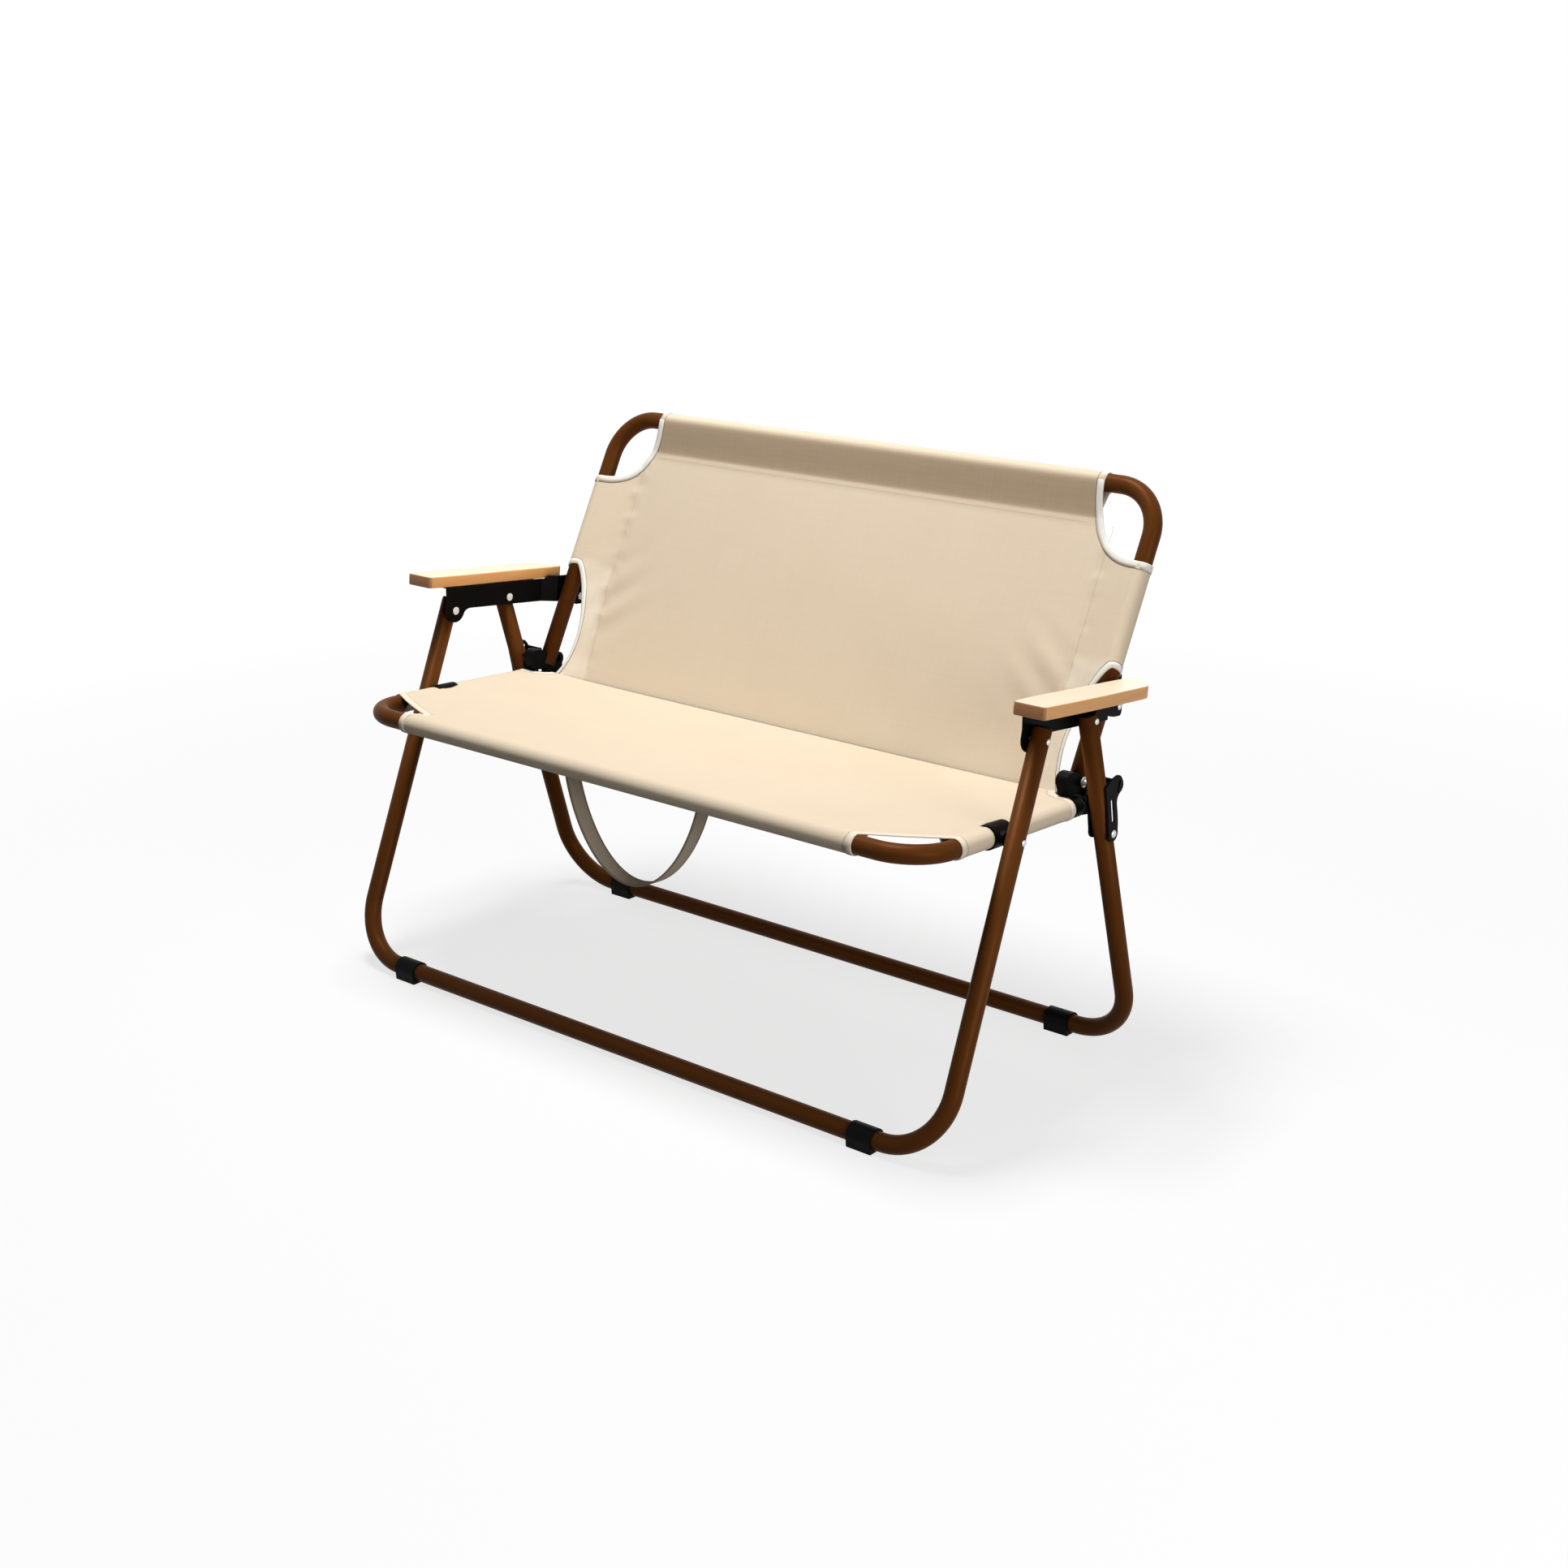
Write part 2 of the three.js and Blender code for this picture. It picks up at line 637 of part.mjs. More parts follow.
// The inner cheek ends in a hook with a narrow lip over the stud
const hookLip = 2.6;
function hookShape() {
  const shape = cheekShape();
  const outside = hooked.length() + studRadius + 0.5 + hookLip;
  shape.lineTo(outside * Math.cos(1.04), outside * Math.sin(1.04));
  shape.absarc(0, 0, outside, 1.04, 1.62, false);
  shape.lineTo(-5, 40);
  shape.closePath();
  return shape;
}

// Slot along the circle that the stud follows about the lever's pivot
function hookSlot(side) {
  const reach = hooked.length();
  const half = studRadius + 0.5;
  const studAngle = hooked.angle();
  const mouth = studAngle + 0.45;
  const shape = new THREE.Shape();
  shape.absarc(0, 0, reach + half, studAngle, mouth, false);
  shape.absarc(0, 0, reach - half, mouth, studAngle, true);
  shape.absarc(hooked.x, hooked.y, half, studAngle - Math.PI, studAngle, false);
  shape.closePath();
  return sidePlate(shape, side, leverInner - 2, leverInner + leverSheet + 2, 8);
}

function slit(side, innerX, outerX) {
  const shape = new THREE.Shape();
  shape.absarc(28, 60, 2, -0.6, Math.PI - 0.6, false);
  shape.absarc(20.5, 49.5, 1.8, Math.PI - 0.6, 2 * Math.PI - 0.6, false);
  shape.closePath();
  return sidePlate(shape, side, innerX, outerX, 6);
}

for (const [side, sideName] of sides) {
  const innerCheek = sidePlate(hookShape(), side, leverInner, leverInner + leverSheet);
  const outerCheek = sidePlate(outerCheekShape(), side, leverOuter, leverOuter + leverSheet);
  const spine = new THREE.Shape();
  spine.moveTo(13.1, 12);
  spine.lineTo(14.8, 12);
  spine.lineTo(15.4, 36);
  spine.lineTo(13.1, 36);
  spine.closePath();
  const web = sidePlate(spine, side, leverInner + 1, leverOuter + 1);
  const grip = new THREE.Shape();
  grip.moveTo(24, 46.3);
  grip.quadraticCurveTo(35.4, 48, 34.5, 57);
  grip.lineTo(32, 57);
  grip.quadraticCurveTo(32.5, 50.5, 24, 48.6);
  grip.closePath();
  const pad = sidePlate(grip, side, leverInner + 1, leverOuter + 1);
  const hole = roundBar(side, 480, 530, shankRadius + gap, 0, 0, 12);
  addPiece(lever, `latch_lever_${sideName}`,
    cut(join(innerCheek, outerCheek, web, pad), hookSlot(side), slit(side, leverOuter - 2, leverOuter + 5),
      hole), black);

  // Lever axle: a black button inside the leg and a bright rivet head outside
  const axle = turnedAlongX([[leverInner - 2.1, 0], [leverInner - 2.1, 3], [leverInner - gap, 4.4],
    [leverInner - gap, shankRadius], [leverOuter + leverSheet + gap, shankRadius],
    [leverOuter + leverSheet + gap, 5], [leverOuter + leverSheet + 1.2, 5],
    [leverOuter + leverSheet + 2.4, 2.8], [leverOuter + leverSheet + 2.4, 0]], side);
  const axleMesh = addPiece(rearLegs, `latch_axle_${sideName}`, axle, silver);
  const local = inFrame(leverPivot, rearOrigin, rearFoot.lean);
  axleMesh.position.set(0, local.x, local.y);
}

// Sheet of fabric over a grid of points, thickened along one direction
function fabricSheet(xs, lengths, pointAt, offset) {
  const positions = [];
  for (const lift of [0, 1]) {
    for (const s of lengths) {
      for (const x of xs) {
        const point = pointAt(x, s).addScaledVector(offset, lift);
        positions.push(point.x, point.y, point.z);
      }
    }
  }
  const across = xs.length;
  const layer = across * lengths.length;
  const index = [];
  const quad = (a, b, c, d) => index.push(a, b, c, a, c, d);
  for (let j = 0; j < lengths.length - 1; j += 1) {
    for (let i = 0; i < across - 1; i += 1) {
      const a = j * across + i;
      quad(a, a + across, a + across + 1, a + 1);
      quad(layer + a, layer + a + 1, layer + a + across + 1, layer + a + across);
    }
  }
  const lastRow = (lengths.length - 1) * across;
  for (let i = 0; i < across - 1; i += 1) {
    quad(i, i + 1, layer + i + 1, layer + i);
    quad(lastRow + i + 1, lastRow + i, layer + lastRow + i, layer + lastRow + i + 1);
  }
  for (let j = 0; j < lengths.length - 1; j += 1) {
    const a = j * across;
    quad(a + across, a, layer + a, layer + a + across);
    const b = a + across - 1;
    quad(b, b + across, layer + b + across, layer + b);
  }
  const geometry = new THREE.BufferGeometry();
  geometry.setAttribute('position', new THREE.Float32BufferAttribute(positions, 3));
  geometry.setIndex(index);
  return geometry;
}

function spread(from, to, count) {
  return Array.from({ length: count + 1 }, (_, i) => from + (to - from) * i / count);
}

const sleeveInner = tubeRadius + clothGap;
const sleeveOuter = sleeveInner + clothThickness;

function clothSleeve(from, to) {
  return straightTube(from, to, sleeveOuter, sleeveInner, 12);
}

// A flat cutter through the whole fabric, its outline drawn in the plane of the sling
function throughCut(shape, thickness, toSling) {
  const geometry = new THREE.ExtrudeGeometry(shape, {
    depth: thickness, bevelEnabled: false, curveSegments: 10,
  });
  geometry.translate(0, 0, -thickness / 2);
  geometry.applyMatrix4(toSling);
  return geometry;
}

// Seat sling: side and front sleeves joined by a sagging panel
const seatClothRear = 185.6;
const sideSleeveStart = -72;
const sideSleeveEnd = 161;
const frontSleeveHalf = 390;

function seatPoint(x, y) {
  const across = 1 - (x / seatHalfWidth) ** 2;
  const along = (y + seatFront) / (seatClothRear + seatFront);
  const drop = seatSag * across * Math.sin(Math.min(1, along * 2.4) * Math.PI / 2) * (1 - 0.5 * along);
  return new THREE.Vector3(x, y, sleeveInner - drop);
}

function seatCloth() {
  const panel = fabricSheet(spread(-seatHalfWidth, seatHalfWidth, 16), spread(-seatFront, seatClothRear, 10),
    seatPoint, new THREE.Vector3(0, 0, clothThickness));
  const pieces = [panel, clothSleeve(new THREE.Vector3(-frontSleeveHalf, -seatFront, 0),
    new THREE.Vector3(frontSleeveHalf, -seatFront, 0))];
  for (const [side] of sides) {
    pieces.push(clothSleeve(new THREE.Vector3(side * seatHalfWidth, sideSleeveStart, 0),
      new THREE.Vector3(side * seatHalfWidth, sideSleeveEnd, 0)));
  }
  const flat = new THREE.Matrix4();
  const cutters = [];
  for (const [side] of sides) {
    const corner = new THREE.Shape();
    corner.moveTo(side * frontSleeveHalf, -200);
    corner.lineTo(side * frontSleeveHalf, -seatFront);
    corner.quadraticCurveTo(side * (seatHalfWidth - 50), sideSleeveStart - 39, side * seatHalfWidth, sideSleeveStart);
    corner.lineTo(side * 520, sideSleeveStart);
    corner.lineTo(side * 520, -200);
    corner.closePath();
    cutters.push(throughCut(corner, 60, flat));
    const notch = new THREE.Shape();
    const notchEdge = side * (seatHalfWidth - 13.5);
    const notchDeep = side * (seatHalfWidth - 19);
    const middle = (collarStart + collarEnd) / 2;
    notch.moveTo(side * 500, collarStart - 1.5);
    notch.lineTo(notchEdge, collarStart - 1.5);
    notch.quadraticCurveTo(notchDeep, collarStart - 1, notchDeep, middle);
    notch.quadraticCurveTo(notchDeep, collarEnd + 1, notchEdge, collarEnd + 1.5);
    notch.lineTo(side * 500, collarEnd + 1.5);
    notch.closePath();
    cutters.push(throughCut(notch, 60, flat));
    const rearNotch = new THREE.Shape();
    rearNotch.absellipse(side * (seatHalfWidth + 8), seatClothRear + 6, 58, seatClothRear + 6 - sideSleeveEnd,
      0, 2 * Math.PI, false, 0);
    cutters.push(throughCut(rearNotch, 60, flat));
  }
  return cut(join(...pieces), ...cutters);
}

addPiece(seat, 'seat_cloth', seatCloth(), canvas);

// Back sling: a top sleeve, short side sleeves above the armrests and a sagging panel
const topSleeveHalf = 382;
const shoulderDrop = 100;
const armOpeningTop = 233;
const armOpeningBottom = 416;
const armOpeningX = 427;
const backClothLow = 400.5;

function backPoint(x, s) {
  const across = 1 - (x / backHalfWidth) ** 2;
  const along = Math.min(1, s / 170);
  const push = backSag * across * Math.sin(along * Math.PI / 2);
  return new THREE.Vector3(x, -sleeveInner + push, -s);
}

function backCloth() {
  const panel = fabricSheet(spread(-backHalfWidth, backHalfWidth, 14), spread(backClothLow, 0, 11),
    backPoint, new THREE.Vector3(0, -clothThickness, 0));
  const pieces = [panel, clothSleeve(new THREE.Vector3(-topSleeveHalf, 0, 0),
    new THREE.Vector3(topSleeveHalf, 0, 0))];
  for (const [side] of sides) {
    const x = side * backHalfWidth;
    pieces.push(clothSleeve(new THREE.Vector3(x, 0, -armOpeningTop), new THREE.Vector3(x, 0, -shoulderDrop)));
  }
  const upright = new THREE.Matrix4().makeRotationX(Math.PI / 2);
  const cutters = [];
  for (const [side] of sides) {
    const outside = side * 500;
    const shoulder = new THREE.Shape();
    shoulder.moveTo(side * topSleeveHalf, 30);
    shoulder.lineTo(side * topSleeveHalf, -5);
    shoulder.bezierCurveTo(side * (topSleeveHalf + 1), -62, side * (topSleeveHalf + 30), -shoulderDrop + 1,
      side * backHalfWidth, -shoulderDrop);
    shoulder.lineTo(outside, -shoulderDrop);
    shoulder.lineTo(outside, 30);
    shoulder.closePath();
    cutters.push(throughCut(shoulder, 60, upright));
    const opening = new THREE.Shape();
    opening.moveTo(outside, -armOpeningTop + 4);
    opening.lineTo(side * backHalfWidth, -armOpeningTop);
    opening.quadraticCurveTo(side * armOpeningX, -armOpeningTop - 14, side * armOpeningX, -330);
    opening.quadraticCurveTo(side * (armOpeningX - 2), -armOpeningBottom + 6,
      side * backHalfWidth, -armOpeningBottom - 8);
    opening.lineTo(outside, -armOpeningBottom - 8);
    opening.closePath();
    cutters.push(throughCut(opening, 60, upright));
  }
  return cut(join(...pieces), ...cutters);
}

addPiece(back, 'back_cloth', backCloth(), canvas);

// Carry strap: a webbing loop that hangs from the underside of the seat behind the front bar
const strapY = 50;
const strapMiddle = -6;
const strapHalf = 118;
const strapDrop = 151;
const strapWidth = 26;
const strapThickness = 2;

function strapPoint(t) {
  const x = strapMiddle + strapHalf * Math.sin(t * Math.PI / 2);
  const depth = strapDrop * Math.cos(t * Math.PI / 2) ** 1.3;
  return new THREE.Vector3(x, 0, -depth);
}

function strap() {
  const count = 22;
  const positions = [];
  const wide = new THREE.Vector3(0, 1, 0);
  for (let i = 0; i <= count; i += 1) {
    const t = -1 + 2 * i / count;
    const here = strapPoint(t);
    const tangent = strapPoint(Math.min(1, t + 0.01)).sub(strapPoint(Math.max(-1, t - 0.01))).normalize();
    const thin = new THREE.Vector3().crossVectors(tangent, wide);
    for (const [a, b] of [[-1, -1], [1, -1], [1, 1], [-1, 1]]) {
      const corner = here.clone().addScaledVector(wide, a * strapWidth / 2)
        .addScaledVector(thin, b * strapThickness / 2);
      positions.push(corner.x, corner.y, corner.z);
    }
  }
  const index = [];
  for (let i = 0; i < count; i += 1) {
    for (let k = 0; k < 4; k += 1) {
      const a = 4 * i + k;
      const b = 4 * i + (k + 1) % 4;
      index.push(a, b, b + 4, a, b + 4, a + 4);
    }
  }
  index.push(0, 3, 2, 0, 2, 1);
  const end = 4 * count;
  index.push(end, end + 1, end + 2, end, end + 2, end + 3);
  const geometry = new THREE.BufferGeometry();
  geometry.setAttribute('position', new THREE.Float32BufferAttribute(positions, 3));
  geometry.setIndex(index);
  return geometry;
}

const strapTop = seatPoint(strapHalf + 6, -seatFront + strapY + strapWidth).z - gap;
addPiece(seat, 'carry_strap', strap(), webbing).position.set(0, -seatFront + strapY, strapTop);

export default loveseat;
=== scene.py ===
import math
import bmesh
import bpy
from mathutils import Matrix, Vector, noise


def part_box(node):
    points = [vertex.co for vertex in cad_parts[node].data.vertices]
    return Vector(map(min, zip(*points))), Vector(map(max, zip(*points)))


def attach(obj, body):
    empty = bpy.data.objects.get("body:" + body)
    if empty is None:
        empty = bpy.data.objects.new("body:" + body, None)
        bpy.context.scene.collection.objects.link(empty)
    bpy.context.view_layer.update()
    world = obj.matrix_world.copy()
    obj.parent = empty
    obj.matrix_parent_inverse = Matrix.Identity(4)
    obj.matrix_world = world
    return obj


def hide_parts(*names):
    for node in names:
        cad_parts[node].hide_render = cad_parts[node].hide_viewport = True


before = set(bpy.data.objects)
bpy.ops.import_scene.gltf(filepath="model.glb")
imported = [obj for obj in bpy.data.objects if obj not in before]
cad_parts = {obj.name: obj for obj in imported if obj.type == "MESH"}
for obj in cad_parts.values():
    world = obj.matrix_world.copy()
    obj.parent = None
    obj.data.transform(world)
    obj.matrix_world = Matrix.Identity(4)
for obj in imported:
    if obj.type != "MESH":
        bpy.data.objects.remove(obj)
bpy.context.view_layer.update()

# Studio. The camera stands in front, on the +X side, 1.26 m up, and looks slightly down.
# Three soft round lamps light the loveseat: each has its place, its size and its power.
CAMERA_PLACE = Vector((1.8798, -2.20935, 1.2603))
CAMERA_LOOK = Vector((-0.60362, 0.73370, -0.31199))
CAMERA_LENS = 51.95
CAMERA_SENSOR = 36.0
LAMPS = (
    ("overhead", (-0.35, -0.04, 3.3), 1.0, 98.0),
    ("side", (3.2, -0.9, 1.1), 1.8, 50.0),
    ("rear", (-1.0, 3.2, 1.5), 1.2, 8.0),
)
LAMP_TARGET = Vector((0, 0, 0.4))


def aim(thing, place, look):
    thing.location = place
    thing.rotation_euler = look.to_track_quat("-Z", "Y").to_euler()
    bpy.context.scene.collection.objects.link(thing)


lens = bpy.data.cameras.new("camera")
lens.sensor_width = CAMERA_SENSOR
lens.lens = CAMERA_LENS
camera = bpy.data.objects.new("camera", lens)
aim(camera, CAMERA_PLACE, CAMERA_LOOK)
bpy.context.scene.camera = camera
bpy.context.scene.view_settings.view_transform = "Standard"

for lamp_name, place, size, power in LAMPS:
    lamp = bpy.data.lights.new(lamp_name, "AREA")
    lamp.shape = "DISK"
    lamp.size = size
    lamp.energy = power
    place = Vector(place)
    aim(bpy.data.objects.new(lamp_name, lamp), place, LAMP_TARGET - place)


class Wire:
    """An output socket, so that shader maths can be written as an expression."""

    def __init__(self, finish, socket):
        self.finish = finish
        self.socket = socket

    def maths(self, operation, first, second=0.0):
        return self.finish.maths(operation, first, second)

    def __add__(self, other):
        return self.maths("ADD", self, other)

    def __sub__(self, other):
        return self.maths("SUBTRACT", self, other)

    def __rsub__(self, other):
        return self.maths("SUBTRACT", other, self)

    def __mul__(self, other):
        return self.maths("MULTIPLY", self, other)

    def wave(self):
        return self.maths("SINE", self)

    def clip(self, low, high):
        return self.maths("MINIMUM", self.maths("MAXIMUM", self, low), high)

    def output(self, name):
        return Wire(self.finish, self.socket.node.outputs[name])

    __radd__ = __add__
    __rmul__ = __mul__


class Finish:
    """A material being made. node() adds any node, sets it and joins its sockets."""

    def __init__(self, name, world=None):
        self.material = world or bpy.data.materials.new(name)
        self.material.use_nodes = True
        self.tree = self.material.node_tree
        self.tree.nodes.clear()

    def node(self, kind, settings=None, sockets=None, output=0):
        made = self.tree.nodes.new("ShaderNode" + kind)
        for key, value in (settings or {}).items():
            setattr(made, key, value)
        for key, value in (sockets or {}).items():
            if isinstance(value, Wire):
                self.tree.links.new(value.socket, made.inputs[key])
            else:
                made.inputs[key].default_value = value
        return Wire(self, made.outputs[output]) if len(made.outputs) else None

    def maths(self, operation, first, second=0.0):
        return self.node("Math", {"operation": operation}, {0: first, 1: second})

    def mix(self, factor, first, second):
        """Mixes two colours, which are sockets 6 and 7 of the node and its output 2."""
        return self.node("Mix", {"data_type": "RGBA"}, {0: factor, 6: first, 7: second}, 2)

    def own_place(self):
        return self.node("TexCoord", None, None, "Object")

    def painted(self, name):
        """The number that the mesh keeps under this name."""
        return self.node("Attribute", {"attribute_name": name}, None, "Fac")

    def noise(self, place, scale, detail=3.0, stretch=(1, 1, 1)):
        turned = self.node("Mapping", None, {"Vector": place, "Scale": stretch})
        return self.node("TexNoise", None, {"Vector": turned, "Scale": scale, "Detail": detail})

    def looked_at(self):
        """1 where the camera, a reflection or glass looks, and 0 for light on the object."""
        ray = self.node("LightPath")
        mirrored = ray.output("Is Glossy Ray")
        through = ray.output("Is Transmission Ray")
        return (ray + mirrored + through).clip(0.0, 1.0)

    def surface(self, bump=None, depth=0.0001, **sockets):
        named = {key.replace("_", " "): value for key, value in sockets.items()}
        if bump is not None:
            named["Normal"] = self.node(
                "Bump", None, {"Height": bump, "Distance": depth, "Strength": 1.0})
        shader = self.node("BsdfPrincipled", None, named)
        self.node("OutputMaterial", None, {"Surface": shader})
        return self.material


def rgb(red, green, blue):
    return (red, green, blue, 1.0)


# Floor and room. Both look white, also in reflections, and throw little light back. The
# floor keeps the loveseat's shadow, and glows more and more with the distance from it.
FLOOR_REACH = 40
FLOOR_BOUNCE = 0.12
ROOM_LIGHT = 0.06
SHADOW_NEAR = 0.6
SHADOW_FADE = 1.6
GLOW_NEAR = 0.74

paper = Finish("pale_floor")
lit = paper.node("BsdfDiffuse", None, {"Color": rgb(0.9, 0.9, 0.9)})
glow = paper.node("Emission", None, {"Color": rgb(1, 1, 1), "Strength": 1.0})
away = paper.node("VectorMath", {"operation": "LENGTH"}, {0: paper.own_place()}, "Value")
fade = (away - SHADOW_NEAR).clip(0.0, SHADOW_FADE) * ((1 - GLOW_NEAR) / SHADOW_FADE) + GLOW_NEAR
shown = paper.node("MixShader", None, {0: fade, 1: lit, 2: glow})
bounce = paper.node(
    "BsdfDiffuse", None, {"Color": rgb(FLOOR_BOUNCE, FLOOR_BOUNCE, FLOOR_BOUNCE)})
paper.node("OutputMaterial", None, {
    "Surface": paper.node("MixShader", None, {0: paper.looked_at(), 1: bounce, 2: shown})})
floor_mesh = bmesh.new()
bmesh.ops.create_grid(floor_mesh, x_segments=1, y_segments=1, size=FLOOR_REACH)
floor_data = bpy.data.meshes.new("floor")
floor_mesh.to_mesh(floor_data)
floor_mesh.free()
floor = bpy.data.objects.new("floor", floor_data)
floor_data.materials.append(paper.material)
bpy.context.scene.collection.objects.link(floor)

room = Finish("white_room", bpy.data.worlds.new("room"))
dim = room.node("Background", None, {"Color": rgb(1, 1, 1), "Strength": ROOM_LIGHT})
white = room.node("Background", None, {"Color": rgb(1, 1, 1), "Strength": 1.0})
room.node("OutputWorld", None, {
    "Surface": room.node("MixShader", None, {0: room.looked_at(), 1: dim, 2: white})})
bpy.context.scene.world = room.material


# Leg frames. Two U-shaped aluminium tubes with a satin wood-brown anodised skin, each bent
# from one length and leaning in towards the armrests. A foot gives its floor bar's place and
# half length, how much each leg draws in per metre, and the legs' length.
TUBE_RADIUS = 0.012
TUBE_WALL = 0.0015
TUBE_SIDES = 40
BEND_STEPS = 18
LEG_BEND = 0.082
FLOOR_BAR = 0.015
FRONT_LEAN = math.radians(-22.35)
REAR_LEAN = math.radians(16.27)
FRONT_FOOT = {"y": -0.2625, "half": 0.510, "taper": 0.0085, "legs": 0.522}
REAR_FOOT = {"y": 0.174, "half": 0.5067, "taper": 0.0034, "legs": 0.4985}
SAME_PLACE = 1e-6

anodised = Finish("brown_anodised_tube")
skin = anodised.own_place()
patches = anodised.noise(skin, 9.0)
grain = anodised.noise(skin, 700.0, 2.0)
BRONZE = anodised.surface(
    bump=grain, depth=0.00003,
    Base_Color=anodised.mix(patches, rgb(0.083, 0.0245, 0.0046), rgb(0.120, 0.0385, 0.0080)),
    Metallic=0.1, Roughness=patches * 0.08 + grain * 0.06 + 0.36,
    Specular_IOR_Level=0.06, Specular_Tint=rgb(0.9, 0.6, 0.35))


def upright(y, z, angle):
    return Matrix.Translation((0, y, z)) @ Matrix.Rotation(angle, 4, "X")


def pick(parts, kind):
    """The vertices, or the edges, among what an operator gives back."""
    return [part for part in parts if isinstance(part, kind)]


def keep_piece(name, mesh, material, body, slot, *replaced):
    """Makes the finished object, which sits at the origin with its place in its mesh."""
    data = bpy.data.meshes.new(name)
    mesh.to_mesh(data)
    mesh.free()
    data.materials.append(material)
    piece = bpy.data.objects.new(name, data)
    bpy.context.scene.collection.objects.link(piece)
    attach(piece, body)
    if replaced:
        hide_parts(*replaced)
    return piece


def soften(piece, sharpest=35.0):
    """Smooth shading, with the edges over this angle kept crisp."""
    mesh = bmesh.new()
    mesh.from_mesh(piece.data)
    for face in mesh.faces:
        face.smooth = True
    for edge in mesh.edges:
        edge.smooth = not edge.is_manifold or edge.calc_face_angle(0.0) < math.radians(sharpest)
    mesh.to_mesh(piece.data)
    mesh.free()


def give_thickness(piece, name, thickness, offset=0.0):
    """Makes a skin solid, about its middle or, with an offset of -1, inwards."""
    wall = piece.modifiers.new(name, "SOLIDIFY")
    wall.thickness = thickness
    wall.offset = offset


def bent_tube(mesh, corners, bend):
    """Draws a round tube through the corners, turned about each bend's centre."""
    corners = [Vector(corner) for corner in corners]
    heading = (corners[1] - corners[0]).normalized()
    facing = heading.to_track_quat("Z", "Y").to_matrix().to_4x4()
    bmesh.ops.create_circle(mesh, segments=TUBE_SIDES, radius=TUBE_RADIUS,
                            matrix=Matrix.Translation(corners[0]) @ facing)
    rim = mesh.edges[:]
    here = corners[0]
    for i in range(1, len(corners)):
        before = (corners[i] - corners[i - 1]).normalized()
        last = i == len(corners) - 1
        after = before if last else (corners[i + 1] - corners[i]).normalized()
        turn = before.angle(after)
        setback = 0.0 if last else bend * math.tan(turn / 2)
        reach = corners[i] - before * setback
        made = pick(bmesh.ops.extrude_edge_only(mesh, edges=rim)["geom"], bmesh.types.BMEdge)
        rim = [edge for edge in made if len(edge.link_faces) == 1]
        moved = {vertex for edge in rim for vertex in edge.verts}
        bmesh.ops.translate(mesh, vec=reach - here, verts=list(moved))
        if not last:
            inward = (after - before * before.dot(after)).normalized()
            made = bmesh.ops.spin(
                mesh, geom=rim, cent=reach + inward * bend, axis=before.cross(after),
                dvec=(0, 0, 0), angle=turn, steps=BEND_STEPS, use_duplicate=False)["geom_last"]
            rim = pick(made, bmesh.types.BMEdge)
        here = corners[i] + after * setback


def frame_tube(name, corners, bend, placing, body):
    mesh = bmesh.new()
    bent_tube(mesh, corners, bend)
    bmesh.ops.remove_doubles(mesh, verts=mesh.verts, dist=SAME_PLACE)
    bmesh.ops.recalc_face_normals(mesh, faces=mesh.faces)
    bmesh.ops.transform(mesh, matrix=placing, verts=mesh.verts)
    piece = keep_piece("smooth_" + name, mesh, BRONZE, body, "bronze_tube", name)
    give_thickness(piece, "wall", TUBE_WALL, -1.0)
    soften(piece)


def leg_frame(name, foot, lean, body):
    half, legs = foot["half"], foot["legs"]
    top = half - foot["taper"] * legs
    corners = [(-top, 0, legs), (-half, 0, 0), (half, 0, 0), (top, 0, legs)]
    frame_tube(name, corners, LEG_BEND, upright(foot["y"], FLOOR_BAR, lean), body)


leg_frame("front_leg_frame", FRONT_FOOT, FRONT_LEAN, "front_frame")
leg_frame("rear_leg_frame", REAR_FOOT, REAR_LEAN, "rear_frame")

# Moulded black parts: plugs in the leg tops, sleeves that stand on the floor, and the
# collars round the seat tubes. Nearly matt nylon with a fine moulded grain.
moulded = Finish("moulded_black_nylon")
surface_place = moulded.own_place()
pebble = moulded.noise(surface_place, 1400.0, 2.0)
cloudy = moulded.noise(surface_place, 40.0)
NYLON = moulded.surface(
    bump=pebble, depth=0.00005,
    Base_Color=moulded.mix(cloudy, rgb(0.0015, 0.0014, 0.0013), rgb(0.0035, 0.0032, 0.003)),
    Roughness=pebble * 0.12 + 0.42, Specular_IOR_Level=0.05)


def cut_windows(piece, windows, placing):
    """Cuts prisms out of a piece. Each is where it starts and ends in X, and its outline."""
    mesh = bmesh.new()
    for near, far, outline in windows:
        base = mesh.faces.new([mesh.verts.new((near, y, z)) for y, z in outline])
        grown = bmesh.ops.extrude_face_region(mesh, geom=[base])["geom"]
        bmesh.ops.translate(mesh, vec=(far - near, 0, 0), verts=pick(grown, bmesh.types.BMVert))
    bmesh.ops.recalc_face_normals(mesh, faces=mesh.faces)
    bmesh.ops.transform(mesh, matrix=placing, verts=mesh.verts)
    data = bpy.data.meshes.new("cutter")
    mesh.to_mesh(data)
    mesh.free()
    cutter = bpy.data.objects.new("cutter", data)
    bpy.context.scene.collection.objects.link(cutter)
    opened = piece.modifiers.new("windows", "BOOLEAN")
    opened.object = cutter
    opened.solver = "EXACT"
    bpy.context.view_layer.update()
    finished = piece.evaluated_get(bpy.context.evaluated_depsgraph_get())
    piece.data = bpy.data.meshes.new_from_object(finished)
    piece.modifiers.remove(opened)
    bpy.data.objects.remove(cutter)


